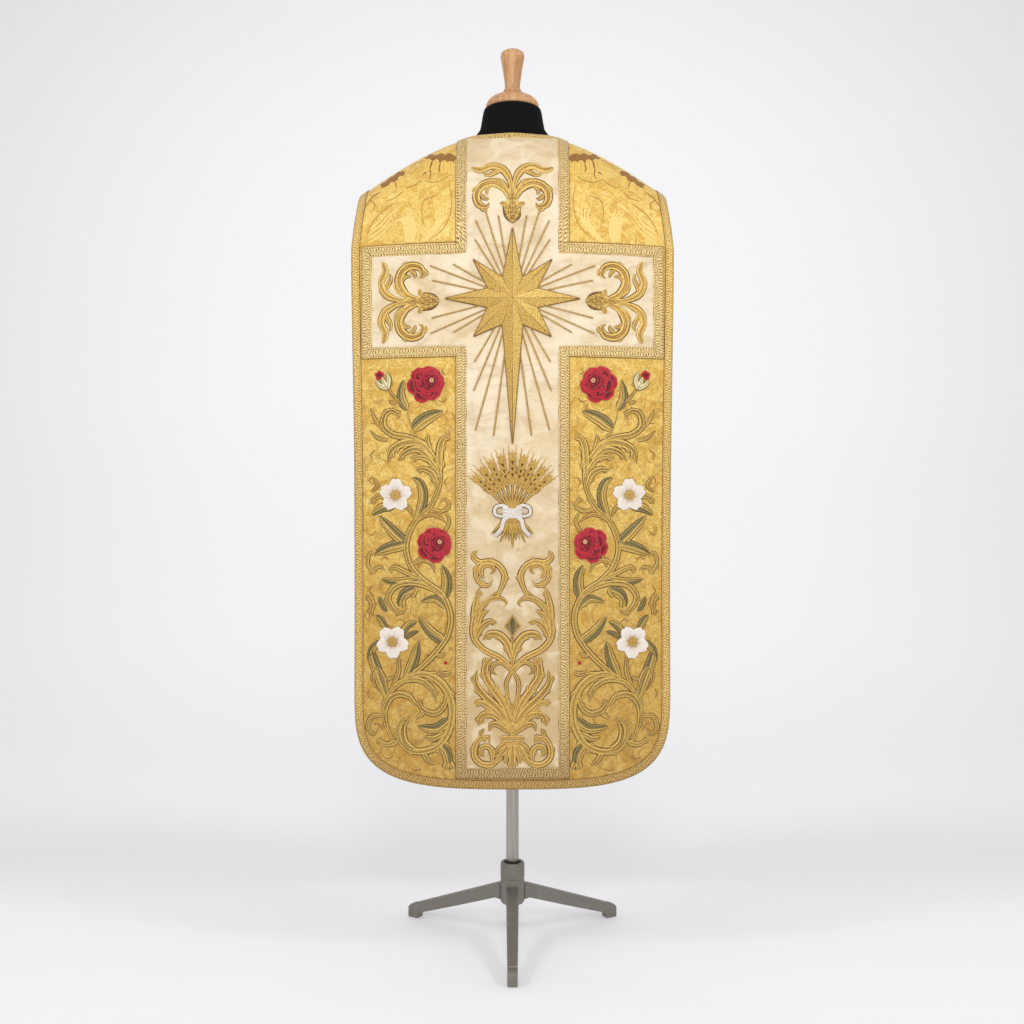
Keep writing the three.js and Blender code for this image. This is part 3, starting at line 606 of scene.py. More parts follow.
# %% [markdown]
# ## Braids
#
# A braid is a tape laid along an edge and folded into a mitre at each corner. A strip between two lines, one
# for each of its edges, gives the mitre by itself, and its UV runs along the tape, so that the zigzag turns
# with it. The lines on the back are drawn anticlockwise as seen from outside, with the inner line on the
# left, which makes each strip face outwards. On the front the strips face inwards, so they are flipped.

# %% Strips of braid
# how high each tape stands at its middle, and how thick its wall is
WIDE_RISE, WIDE_WALL = 2.0, 1.8
NARROW_RISE, NARROW_WALL = 1.6, 1.5
NECK_RISE, NECK_WALL = 2.0, 3.6


def add_strip(bm, side, outer, inner, wall, base, limb=False, steps=9):
    """A tape between two lines of x and s."""
    outer, inner = np.array(outer, float), np.array(inner, float)
    run = np.concatenate([[0], np.cumsum(np.linalg.norm(np.diff((outer + inner) / 2, axis=0), axis=1))])
    tape = np.linalg.norm(outer[0] - inner[0])
    knots = np.linspace(0, 1, len(outer))

    def place(u, v):
        xs = [np.interp(u, knots, line[:, 0]) for line in (outer, inner)]
        ss = [np.interp(u, knots, line[:, 1]) for line in (outer, inner)]
        x = xs[0] + (xs[1] - xs[0]) * v
        s = ss[0] + (ss[1] - ss[0]) * v
        if limb:
            s = limb_s(side, x, s)
        rim = np.abs(2 * v - 1)
        height = base + wall * (1 - 0.55 * rim**6)
        uv = np.stack([v * tape, np.interp(u, knots, run)], 1) * MM
        return cloth(side, x, s, height), uv, rim, 0.5

    add_grid(bm, len(outer), steps, place)
    return run[-1]


def straight(a, b, step=4.0):
    count = max(2, int(math.dist(a, b) / step) + 1)
    return np.linspace(a, b, count)


def frame_corners(stem, arm, low, top, foot):
    """The corners of a cross-shaped frame, anticlockwise from the left of its foot, as two runs."""
    right = [(stem, foot), (stem, low), (arm, low), (arm, top), (stem, top), (stem, TOP_S)]
    left = [(-x, s) for x, s in reversed(right)]
    return [(-stem, foot), *right], left


def add_corners(bm, side, outer, inner):
    """Lays wide braid along the straight lines between corners, given for the tape's two edges."""
    length = 0
    for start_out, end_out, start_in, end_in in zip(outer, outer[1:], inner, inner[1:]):
        line = straight(start_out, end_out)
        other = np.linspace(start_in, end_in, len(line))
        length += add_strip(bm, side, line, other, WIDE_RISE, ON_PANEL, limb=True)
    return length


def cross_braid():
    bm = start()
    box = (CROSS["stem"], CROSS["arm"], CROSS["arm_low"], CROSS["arm_top"], CROSS["foot"])
    shift = (-WIDE, -WIDE, WIDE, -WIDE, WIDE)
    outer_runs = frame_corners(*box)
    inner_runs = frame_corners(*[a + b for a, b in zip(box, shift)])
    length = sum(add_corners(bm, BACK, outer, inner) for outer, inner in zip(outer_runs, inner_runs))
    print("cross braid:", round(length), "mm")
    return finish_piece(bm, "cross_braid", [WIDE_BRAID], "braid", ["back_cross_braid"], WIDE_WALL)


def column_corners(stem, foot):
    return [(-stem, TOP_S), (-stem, foot), (stem, foot), (stem, TOP_S)]


def column_braid():
    bm = start()
    stem, foot = COLUMN["stem"], COLUMN["foot"]
    length = add_corners(bm, FRONT, column_corners(stem, foot), column_corners(stem - WIDE, foot + WIDE))
    print("column braid:", round(length), "mm")
    node = "front_column_braid"
    return finish_piece(bm, "column_braid", [WIDE_BRAID], "braid", [node], WIDE_WALL, 0, True)


def edge_braid(side):
    bm = start()
    share = np.sin(np.linspace(0, math.pi / 2, 70))
    corner_z = EDGES[side][-1][0]
    hem = np.stack([share * half_width(side, corner_z), hem_height(side, share)], 1)
    rise = np.linspace(hem[-1, 1], TOP_S, 200)[1:]
    sides = np.stack([width_share(side, np.ones(len(rise)), rise), rise], 1)
    outer = np.concatenate([hem, sides])
    along = np.gradient(outer, axis=0)
    along /= np.linalg.norm(along, axis=1, keepdims=True)
    inner = outer + NARROW * np.stack([-along[:, 1], along[:, 0]], 1)
    inner[0, 0] = 0
    inner[:, 1] = np.where(outer[:, 1] >= TOP_S, TOP_S, inner[:, 1])
    mirror = np.array([-1, 1])
    whole = [np.concatenate([(line * mirror)[:0:-1], line]) for line in (outer, inner)]
    length = add_strip(bm, side, *whole, NARROW_RISE, ON_PANEL, steps=7)
    name, node = f"{SIDES[side]}_hem_braid", f"{SIDES[side]}_edge_braid"
    print(name, round(length), "mm")
    return finish_piece(bm, name, [NARROW_BRAID], "braid", [node], NARROW_WALL, 0, side == FRONT)


def bend(share):
    """A sine or cosine bent so that the neck's outline is squarer than an ellipse."""
    return np.sign(share) * np.abs(share) ** (2 / NECK["power"])


def neck_braid():
    bm = start()
    run = 520.0

    def place(u, v):
        angle = u * math.tau
        grow = NECK_TAPE * (1 - v)
        depth = np.where(np.sin(angle) < 0, NECK["back"], NECK["front"])
        x = (NECK["half"] + grow) * bend(np.cos(angle))
        y = (depth + grow) * bend(np.sin(angle))
        side = np.where(y < 0, BACK, FRONT)
        rim = np.abs(2 * v - 1)
        points = cloth(side, x, s_of_plan(side, x, y), ON_PANEL + NECK_RISE - 0.9 * rim**6)
        return points, np.stack([v * NECK_TAPE, u * run], 1) * MM, rim, 0.5

    add_grid(bm, 161, 8, place)
    bmesh.ops.remove_doubles(bm, verts=bm.verts, dist=1e-6)
    return finish_piece(bm, "collar_braid", [NARROW_BRAID], "braid", ["neck_braid"], NECK_WALL)


braids = [cross_braid(), column_braid(), edge_braid(BACK), edge_braid(FRONT), neck_braid()]
print("braids' areas:", [round(sheet_area(b), 4) for b in braids])

# %% [markdown]
# ## Embroidery finishes
#
# Raised embroidery is thread laid side by side over padding. Seen close, it is a bundle of fine parallel
# lines that runs along each leaf and darkens towards the rim, where the thread dives into the cloth. The
# stripes come from the UV across the stroke, and the rim from the stored number.

# %% Threads, petals, flat silk and cords
def make_thread(name, light, middle, dark, metal=0.15, line=0.0042, contour_highlight=0.9):
    f = Finish(name, rough=0.45, metal=metal)
    uv, across, _ = f.thread()
    rim, tone = f.stored("rim"), f.stored("tone")
    _, height = f.place()
    sparkle = tuple(min(1.0, c * 1.5) for c in light)
    drift = f.noise(f.stretched(uv, 120.0, 30.0), 1.0, 2.0)
    lines = (across * (math.tau / line) + drift * 5.0 + tone * 9.0).sine() * 0.5 + 0.5
    knots = f.noise(f.stretched(uv, 620.0, 360.0), 1.0, 1.0)
    grain = lines * 0.45 + (knots - 0.5) * 2.6 + 0.3
    edge = rim.ramp(0.36, 0.52) * (1.0 - rim.ramp(0.76, 0.9))
    base = f.mix(grain, middle, light)
    base = f.mix((1.0 - lines).ramp(0.5, 1.0) * 0.55, base, dark)
    base = f.mix((0.5 - knots).ramp(0.04, 0.16) * 0.55, base, dark)
    base = f.mix(tone.ramp(0.25, 0.9) * (1.0 - rim.ramp(0.3, 0.5)) * 0.75, base, dark)
    # a light contour along each stroke's edges, brightened past the thread's own light colour as a painted
    # highlight
    base = f.mix(edge * contour_highlight * (0.7 + (knots - 0.5) * 1.5), base, sparkle)
    base = f.mix(rim.ramp(0.84, 0.97) * 0.75, base, dark)
    # painted shade: the thread darkens lower down the garment
    base = f.mix(height.ramp(1.0, 0.4) * 0.2, base, dark)
    f.colour(base)
    f.bump(lines + knots * 1.2, 0.7, 0.5)
    return f.material


def make_petal(name, edge, body, root):
    f = Finish(name, rough=0.65)
    uv, _, _ = f.thread()
    rim, tone = f.stored("rim"), f.stored("tone")
    stitch = f.noise(f.stretched(uv, 800.0, 130.0), 1.0, 2.0)
    # painted shade: darker towards each petal's root, where the petals overlap
    base = f.mix((tone + (stitch - 0.5) * 0.8).ramp(0.1, 0.95), body, root)
    # painted highlight: the petal's rim is lightened
    base = f.mix((rim + (stitch - 0.5) * 0.4).ramp(0.62, 0.92) * 0.7, base, edge)
    base = f.mix(rim.ramp(0.92, 0.99) * 0.85, base, root)
    f.colour(base)
    f.bump(stitch, 0.6, 0.4)
    return f.material


def make_woven(name, light, dark):
    f = Finish(name, rough=0.5, metal=0.1)
    uv, _, _ = f.thread()
    speck = f.noise(uv, 330.0, 2.0)
    f.colour(f.mix((speck - 0.5) * 3.0 + 0.4, light, dark))
    f.bump(speck, 0.35, 0.25)
    return f.material


GOLD = make_thread("gold_thread", paint(232, 188, 102), paint(200, 152, 68), paint(130, 84, 30))
GOLD_LEAF = make_thread("gold_leaf_thread", paint(220, 182, 94), paint(190, 148, 66), paint(110, 76, 28))
OLD_GOLD = make_thread("old_gold_thread", paint(212, 170, 82), paint(166, 124, 50), paint(96, 64, 22))
SAGE = make_thread("sage_thread", paint(150, 132, 76), paint(112, 98, 56), paint(70, 56, 24), 0.05)
SEPAL = make_thread("sepal_thread", paint(246, 228, 180), paint(222, 194, 130), paint(140, 116, 60), 0.0)
OUTLINE_BROWNS = (paint(140, 102, 46), paint(116, 80, 32), paint(92, 60, 22))
OUTLINE = make_thread("outline_thread", *OUTLINE_BROWNS, 0.0, contour_highlight=0.0)
TIE_WHITES = (paint(250, 244, 236), paint(236, 226, 212), paint(190, 176, 154))
TIE = make_thread("white_tie", *TIE_WHITES, 0.0, contour_highlight=0.3)

CORD = make_thread("ray_cord", paint(214, 180, 118), paint(186, 150, 92), paint(146, 110, 60), contour_highlight=0.2)
BROWN = make_woven("brown_silk", paint(168, 118, 52), paint(134, 86, 32))
DARK_CORD_BROWNS = (paint(170, 126, 54), paint(142, 100, 42), paint(112, 76, 30))
DARK_CORD = make_thread("dark_cord", *DARK_CORD_BROWNS, 0.0, contour_highlight=0.0)
LEAF_SILK = make_woven("leaf_silk", paint(244, 204, 108), paint(230, 186, 88))
VEIN = make_woven("vein_silk", paint(206, 160, 74), paint(184, 136, 58))
PALE = make_woven("pale_gold_silk", paint(250, 222, 138), paint(238, 200, 108))
CRIMSON = make_petal("crimson_silk", paint(220, 60, 78), paint(190, 22, 42), paint(84, 4, 12))
ROSE_HEART = make_petal("rose_heart_silk", paint(236, 200, 160), paint(220, 170, 130), paint(96, 10, 18))
WHITE = make_petal("white_silk", paint(252, 248, 244), paint(238, 226, 214), paint(206, 184, 150))
print("embroidery finishes are ready")

# %% [markdown]
# ## Strokes
#
# Scrolls, leaves, stems and rays are all strokes: a smooth line through a few points, with a width that
# swells from the root and closes at the tip, domed in the middle. A leaf adds side lobes that spring from its
# edge. Drawing strokes from short tables keeps both halves of an ornament alike, as a pricked pattern does
# for an embroiderer.

# %% Stroke tools
def stroke(wide, *points, **look):
    """One row of a table of strokes: its width, its points in x and z, and how else it differs."""
    return {"wide": wide, "points": points, **look}


def swell(f, root, blunt=4.5):
    return np.maximum(np.minimum(1, root + 2.2 * f) * (1 - f**blunt), 0.08)


def placed(points, flip=1, quarter=0, x=0.0, z=0.0):
    """Mirrors points in x, turns them by a quarter, and moves them."""
    p = np.array(points, float) * (flip, 1)
    if quarter:
        p = np.stack([-p[:, 1] * quarter, p[:, 0] * quarter], 1)
    return p + (x, z)


def add_stroke(
    bm, points, wide, base, rise=1.9, root=0.5, even=False, groove=0.0,
    tone=0.5, material=0, span=(-1, 1), blunt=4.5,
):
    """One domed stroke.

    base is its height above the cloth, or a pair of heights for its two ends. even keeps its width, groove
    sinks a line along its middle, and span is the part of its width that is made.
    """
    points = np.array(points, float)
    length = np.linalg.norm(np.diff(points, axis=0), axis=1).sum()

    def place(u, v):
        line = smooth_line(points, v)
        ahead = smooth_line(points, np.minimum(v + 0.01, 1)) - smooth_line(points, np.maximum(v - 0.01, 0))
        ahead /= np.linalg.norm(ahead, axis=1, keepdims=True)
        full = np.ones_like(v) if even else swell(v, root, blunt)
        off = (span[0] + (span[1] - span[0]) * u) * wide / 2 * full
        x = line[:, 0] + off * ahead[:, 1]
        z = line[:, 1] - off * ahead[:, 0]
        rim = np.abs(2 * u - 1)
        dome = np.sqrt(np.clip(1 - rim**2.6, 0, 1)) * np.minimum(1, full * 1.6)
        dome = dome * (1 - groove * np.exp(-((off / 0.9) ** 2)))
        level = base if np.isscalar(base) else base[0] + (base[1] - base[0]) * v
        spots = cloth(BACK, x, s_of_height(x, z), level - 0.15 + rise * dome)
        return spots, np.stack([off, v * length], 1) * MM, rim, tone * 0.4 + 0.6 * v

    add_grid(bm, 5 if wide < 5 else 7, max(5, int(length / 3.4)), place, material)


def leaf_lobes(points, wide, count, sides):
    """The side lobes of a leaf, as short round strokes that point forwards."""
    lobes = []
    line = np.array(points, float)
    for k in range(count):
        f = np.array([0.2 + 0.62 * k / max(count - 1, 1)])
        here = smooth_line(line, f)[0]
        ahead = smooth_line(line, f + 0.02)[0] - smooth_line(line, f - 0.02)[0]
        ahead /= np.linalg.norm(ahead)
        for side in sides:
            out = np.array([-ahead[1], ahead[0]]) * side
            reach = wide * (1.0 - 0.35 * f[0])
            root = here - ahead * reach * 0.55
            middle = here + ahead * reach * 0.05 + out * reach * 0.44
            tip = here + ahead * reach * 0.52 + out * reach * 0.56
            lobes.append({"points": [root, middle, tip], "wide": wide * 0.62})
    return lobes


SAGE_SLOT = 2  # which of a vine's finishes its split leaves have on their second half


def add_ornament(bm, rows, base, where=None, rise=1.9, under=None, halo=2.6):
    """Every stroke of a table with its lobes, over wider flat strokes in finish under: a brown outline and
    painted shadow.
    """
    for k, row in enumerate(rows):
        look = {"tone": (k * 0.37) % 1.0, "material": row.get("finish", 0)}
        look["blunt"] = row.get("blunt", 4.5)
        root, wide = row.get("root", 0.5), row["wide"]
        lobed = leaf_lobes(row["points"], wide, row.get("lobes", 0), row.get("sides", (1, -1)))
        for lobe in lobed:
            bent = placed(lobe["points"], **(where or {}))
            if under is not None:
                add_stroke(bm, bent, lobe["wide"] + halo, base - 0.1, 0.3, 0.6, material=under)
            add_stroke(bm, bent, lobe["wide"], base, rise * 0.8, 0.6, **look)
        body = placed(row["points"], **(where or {}))
        if under is not None:
            add_stroke(bm, body, wide + halo, base - 0.1, 0.3, root, material=under)
        if "split" in row:
            hand = row["split"] * (where or {}).get("flip", 1)
            halves = [(-0.05, 1), (-1, 0.05)][::hand]
            for span, material in zip(halves, (look["material"], SAGE_SLOT)):
                look["material"] = material
                add_stroke(bm, body, wide, base, rise * 0.8, root, **look, span=span)
        else:
            add_stroke(bm, body, wide, base, rise, root, groove=row.get("groove", 0.35), **look)


# %% [markdown]
# ## Palmettes
#
# One palmette sits on the upper limb and one on each arm, with its bud towards the star. It is half a table,
# mirrored, and then turned by a quarter for the arms.

# %% Palmettes on the limbs
PALMETTE = [
    stroke(12, (1, -6), (5, 20), (16, 38), (34, 44), (52, 37), (68, 42), root=0.3, blunt=14),
    stroke(7, (14, 36), (26, 34), (38, 28), (48, 30), root=0.3, blunt=10),
    stroke(14, (3, -16), (13, 4), (32, 14), (50, 9), (59, -6), (55, -22), (43, -26), (38, -19), root=0.6,
           lobes=3, sides=(1,)),
    stroke(8, (8, 2), (20, 16), (34, 21), blunt=10),
    stroke(6, (34, 10), (42, 3), (41, -7)),
    stroke(6, (52, -4), (46, -12), (38, -13)),
    stroke(9, (2, -36), (8, -24), (21, -20), blunt=12),
]
PALMETTE_BUD = [
    stroke(15, (0, 6), (0, -16), (0, -30), blunt=9, groove=0),
    stroke(30, (0, -16), (0, -36), (0, -53), root=0.5, blunt=3, groove=0),
]
BEADS = [
    (-8, -27), (0, -26), (8, -27), (-4, -33), (4, -33), (-9, -36), (9, -36), (0, -39),
    (-5, -44), (5, -44), (0, -50), (0, -18), (-4, -11), (4, -11), (0, -4),
]
PALMETTES = {
    "palmette_top": {"x": 0, "z": 1270},
    "palmette_right": {"x": 173, "z": 1090.5, "quarter": -1},
    "palmette_left": {"x": -173, "z": 1090.5, "quarter": 1},
}
for node, where in PALMETTES.items():
    bm = start()
    add_ornament(bm, PALMETTE_BUD, ON_SATIN, where, under=1)
    for flip in (1, -1):
        add_ornament(bm, PALMETTE, ON_SATIN, {**where, "flip": flip}, under=1)
    for bx, bz in BEADS:
        bead = placed([(bx, bz - 3), (bx, bz), (bx, bz + 3)], **where)
        add_stroke(bm, bead, 7.2, ON_SATIN + 1.7, 0.5, root=0.5, material=1)
        add_stroke(bm, bead, 5, ON_SATIN + 2.2, 2.0, root=0.6, tone=0.0)
    finish_piece(bm, node.replace("palmette", "gold_palmette"), [GOLD, OUTLINE], "gold_thread", [node])
print("palmettes:", len(PALMETTES))

# %% [markdown]
# ## Foliage at the foot of the stem
#
# The foot of the cross is filled with a candelabra of acanthus scrolls, a green lozenge and a clasp. It is
# drawn for the right half and mirrored.

# %% Foot foliage
FOLIAGE = [
    stroke(9, (27, 600), (18, 619), (13, 639), (23, 656), (40, 662), (55, 656), (60, 641), (54, 627),
           (40, 623), (31, 633), lobes=4, sides=(1,)),
    stroke(9, (42, 660), (57, 662), (64, 671), (58, 680)),
    stroke(8, (48, 634), (52, 646), (46, 655), (35, 655), (30, 647), (37, 641)),
    stroke(6.5, (52, 630), (44, 622), (34, 626)),
    stroke(9.5, (0, 485), (21, 504), (48, 518), (63, 537), (64, 560), (56, 582), (40, 598), (21, 602),
           (10, 594), (15, 587), root=0.7),
    stroke(6.5, (60, 545), (54, 580), (36, 600), (22, 616)),
    stroke(11, (63, 562), (61, 588), (54, 619), lobes=3, sides=(1,)),
    stroke(12.5, (0, 500), (7, 525), (21, 541), (38, 543), (48, 533), lobes=3, sides=(-1,)),
    stroke(9, (62, 531), (52, 553), (38, 564), (25, 561), lobes=3, sides=(1,)),
    stroke(8, (60, 548), (50, 574), (38, 582)),
    stroke(6.5, (0, 478), (9, 491), (21, 497), (32, 491), (33, 481), (24, 476)),
    stroke(5.5, (0, 484), (10, 463), (8, 442), (0, 412)),
    stroke(13.5, (0, 388), (13, 426), (30, 451), (44, 475), (42, 496), (30, 505), lobes=4),
    stroke(12.5, (0, 386), (21, 418), (46, 442), (60, 463), (58, 484), lobes=4, sides=(-1,)),
    stroke(11, (0, 384), (25, 413), (48, 430), (64, 430), lobes=3, sides=(-1,)),
    stroke(11, (0, 382), (29, 409), (50, 409), (56, 392), lobes=3),
    stroke(9, (0, 378), (20, 393), (34, 395), (38, 383)),
    stroke(6.5, (0, 400), (8, 425), (12, 448)),
    stroke(11, (2, 366), (14, 352), (26, 336), lobes=2),
    stroke(10, (4, 364), (28, 333), (48, 329), (62, 342), (60, 362), (50, 373), (38, 370), (40, 358),
           lobes=3, sides=(-1,)),
    stroke(9, (34, 334), (32, 348), (39, 358), (50, 357), (53, 347), (46, 342), lobes=2, sides=(-1,)),
    stroke(7, (44, 366), (52, 378), (46, 388)),
    stroke(9, (1, 366), (8, 350), (13, 330)),
    stroke(9, (4, 366), (20, 358), (28, 346)),
]
FOLIAGE_MIDDLE = [
    stroke(8, (0, 372), (0, 432)),
    stroke(14, (0, 368), (0, 345), (0, 324), lobes=2),
    stroke(6, (0, 486), (0, 546)),
]


def foot_foliage():
    bm = start()
    add_ornament(bm, FOLIAGE_MIDDLE, ON_SATIN, under=2)
    for flip in (1, -1):
        add_ornament(bm, FOLIAGE, ON_SATIN, {"flip": flip}, under=2)
    for z in (366.5, 373.5):
        add_stroke(bm, [(-19, z), (0, z), (19, z)], 6, ON_SATIN, 2.6, even=True, tone=0.1)
    add_stroke(bm, [(0, 538), (0, 556), (0, 574)], 19, ON_SATIN, 1.6, root=0.1, material=1)
    for flip in (1, -1):
        edge = [(0, 573), (12 * flip, 556), (0, 539)]
        for a, b in zip(edge, edge[1:]):
            add_stroke(bm, [a, b], 3, ON_SATIN, 2.4, even=True)
    return finish_piece(bm, "gold_foot_foliage", [GOLD, SAGE, OUTLINE], "gold_thread", ["foot_foliage"])


foliage = foot_foliage()
print("foot foliage:", len(foliage.data.polygons), "faces")

# %% [markdown]
# ## The wheat sheaf
#
# Below the star stands a tied sheaf. Each ear is a stem with grains in pairs and long awns, and the straw
# fans out below the white tie.

# %% Wheat sheaf
SHEAF_Z = 742.0
BOW_TAIL = [(2, -3), (14, -12), (18, -26), (28, -38)]
BOW_LOOP = [(1, 0), (13, 11), (27, 9), (28, -3), (15, -6), (2, 0)]


def ray_points(degrees, start_mm, end_mm, bow=0.0):
    """Three points of a ray from the tie, turned from upright and bowed sideways."""
    a = math.radians(degrees)
    ahead, side = np.array([math.sin(a), math.cos(a)]), np.array([math.cos(a), -math.sin(a)])
    middle = (start_mm + end_mm) / 2
    tie = np.array([0, SHEAF_Z])
    return [tie + ahead * start_mm, tie + ahead * middle + side * bow / 2, tie + ahead * end_mm + side * bow]


def wheat_sheaf():
    bm = start()
    for i in (-4, 4, -3, 3, -2, 2, -1, 1, 0):
        lean, reach = i * 10.5, 92 - abs(i) * 3
        bow = i * 1.6
        tone = (i * 0.3) % 1
        stalk = ray_points(lean, -8, reach * 0.62, bow * 0.6)
        add_stroke(bm, stalk, 5.5, ON_SATIN - 0.1, 0.3, even=True, material=2)
        add_stroke(bm, stalk, 3.4, ON_SATIN, 1.4, even=True, tone=tone)
        stem = ray_points(lean, reach * 0.5, reach, bow)
        ahead = (stem[2] - stem[0]) / np.linalg.norm(stem[2] - stem[0])
        add_stroke(bm, [stem[0], stem[1], stem[2] + ahead * 8], 15, ON_SATIN - 0.1, 0.3, root=0.3, material=2)
        for k in range(5):
            here = smooth_line(stem, np.array([k / 5]))[0]
            for hand in (1, -1):
                out = np.array([ahead[1], -ahead[0]]) * hand
                tip = here + ahead * 13 + out * 4.6
                grain = [here + out * 0.6, here + ahead * 6 + out * 3.9, tip]
                add_stroke(bm, grain, 5.6, ON_SATIN, 2.6, root=0.4, tone=(k * 0.29 + i * 0.17) % 1)
                if k > 1:
                    awn = [tip - ahead * 3, tip + ahead * 7 + out * 1.2, tip + ahead * 13 + out * 3]
                    add_stroke(bm, awn, 1.6, ON_SATIN, 0.8, tone=0.8)
        tip_grain = [stem[2] + ahead * run for run in (-4, 2, 10)]
        add_stroke(bm, tip_grain, 5.4, ON_SATIN, 2.6, tone=0.2)
    for i in range(-6, 7):
        reach = 52 + 7 * math.cos(i * 2.1) - abs(i) * 1.5
        straw = ray_points(180 + i * 8.5, -6, reach, -i * 0.9)
        add_stroke(bm, straw, 6.5, ON_SATIN - 0.1, 0.3, root=0.8, material=2)
        add_stroke(bm, straw, 4.2, ON_SATIN, 1.6, root=0.8, tone=(i * 0.41) % 1)
    band = np.array([(-16, SHEAF_Z + 2), (0, SHEAF_Z - 1.5), (16, SHEAF_Z + 2)])
    add_stroke(bm, band, 20, ON_SATIN + 0.4, 0.5, even=True, material=2)
    for lift in (-5.5, 0, 5.5):
        add_stroke(bm, band + (0, lift), 6, ON_SATIN + 0.6, 2.8, even=True, material=1, tone=0.1)
    for hand in (1, -1):
        for shape, wide in ((BOW_TAIL, 7), (BOW_LOOP, 5.5)):
            line = placed(shape, hand, z=SHEAF_Z)
            add_stroke(bm, line, wide + 2.2, ON_SATIN + 0.6, 1.0, even=True, material=2)
            add_stroke(bm, line, wide, ON_SATIN + 0.9, 2.2, even=True, material=1, tone=0.2)
    return finish_piece(bm, "gold_wheat_sheaf", [GOLD, TIE, OUTLINE], "gold_thread", ["wheat_sheaf"])


sheaf = wheat_sheaf()
print("wheat sheaf:", len(sheaf.data.polygons), "faces")

# %% [markdown]
# ## Vines
#
# A vine climbs each side panel, from a large scroll at the hem to a rose below the arm. Its leaves are gold,
# some of them with a sage half. The two vines mirror each other.

# %% Vine tables
VINE = [
    stroke(13, (187, 459), (162, 474), (138, 474), (114, 458), (100, 428), (102, 392), (119, 361),
           (148, 348), (175, 353), (188, 374), (184, 396), (168, 407), lobes=6),
    stroke(10, (190, 461), (164, 467), (146, 463), (131, 449), (126, 428), lobes=3, sides=(-1,)),
    stroke(9, (106, 446), (113, 423), (128, 411), (146, 416), (154, 429), (147, 434), lobes=2, sides=(1,)),
    stroke(16, (104, 402), (126, 386), (157, 389), split=1),
    stroke(9, (112, 380), (130, 370), (146, 373)),
    stroke(12, (162, 352), (177, 362), (181, 386), (169, 406), lobes=3, sides=(-1,)),
    stroke(17, (121, 363), (108, 345), (104, 318), lobes=2, split=-1),
    stroke(17, (208, 436), (228, 490), (236, 518), split=1),
    stroke(7, (206, 438), (214, 470), (226, 484), (232, 466), (222, 446)),
    stroke(16, (176, 466), (162, 500), (155, 530), split=1),
    stroke(7, (200, 448), (188, 480), (190, 512)),
    stroke(16, (112, 530), (134, 545), (155, 571), split=-1),
    stroke(10, (112, 600), (133, 617), (162, 626), (190, 622), (205, 604), (199, 586), (184, 576),
           (174, 584), lobes=4, sides=(1,)),
    stroke(16, (160, 616), (179, 606), (188, 586), split=1, lobes=2, sides=(-1,)),
    stroke(11, (110, 586), (128, 600), (152, 594), split=1),
    stroke(16, (112, 600), (108, 630), (116, 656), split=1),
    stroke(11, (150, 634), (190, 628), (217, 632), split=-1),
    stroke(8, (146, 630), (172, 642), (196, 652), (200, 640), lobes=2, sides=(1,)),
    stroke(18.5, (175, 690), (202, 684), (229, 672), split=1),
    stroke(17, (175, 690), (197, 710), (222, 737), split=1),
    stroke(14.5, (158, 730), (147, 765), (152, 790), (166, 800), split=1),
    stroke(10, (123, 786), (131, 806), (146, 814), (160, 812), lobes=2, sides=(-1,)),
    stroke(10, (122, 808), (136, 828), (152, 834), (170, 832), lobes=3, sides=(-1,)),
    stroke(14, (128, 832), (150, 855), (178, 857), (200, 845), (206, 822), lobes=5, sides=(-1,)),
    stroke(10, (132, 828), (154, 846), (176, 842), (190, 826), lobes=3, sides=(-1,)),
    stroke(13, (120, 800), (120, 836), (116, 858), (102, 876), lobes=3, sides=(1,)),
    stroke(8, (134, 846), (140, 858), (138, 872)),
    stroke(10, (140, 852), (168, 866), (197, 871), (214, 886), (211, 905), (199, 911), (188, 903),
           (192, 896), lobes=4, sides=(-1,)),
    stroke(20.5, (164, 880), (142, 897), (114, 909), split=-1),
    stroke(13.5, (174, 912), (184, 934), (180, 962), split=-1),
    stroke(4, (176, 920), (192, 930), (212, 956), finish=1),
    stroke(14.5, (196, 752), (216, 750), (234, 738), split=-1),
    stroke(8, (198, 760), (220, 770), (236, 756), lobes=2),
    stroke(6, (184, 760), (170, 748), (164, 734), finish=1),
    stroke(11, (216, 528), (232, 516), (239, 494), split=1),
    stroke(10, (208, 548), (218, 564), (226, 572), split=1),
    stroke(11, (184, 542), (172, 556), (158, 562), split=1),
    stroke(7, (180, 534), (166, 542), (154, 546), finish=2),
    stroke(7, (174, 710), (156, 731), (131, 739), (106, 724), finish=1),
    stroke(9, (198, 363), (212, 405), (208, 436), (187, 459), (154, 484), (125, 513), (106, 542),
           (102, 576), (117, 609), (146, 630), (168, 655), (175, 690), (160, 728), (137, 750), (122, 780),
           (119, 810), (132, 840), (158, 868), (172, 900), (176, 936), groove=0.6),
    stroke(10, (160, 424), (169, 437), (187, 442), (202, 434), (211, 413), (208, 388), (201, 370), lobes=3,
           sides=(1,)),
]
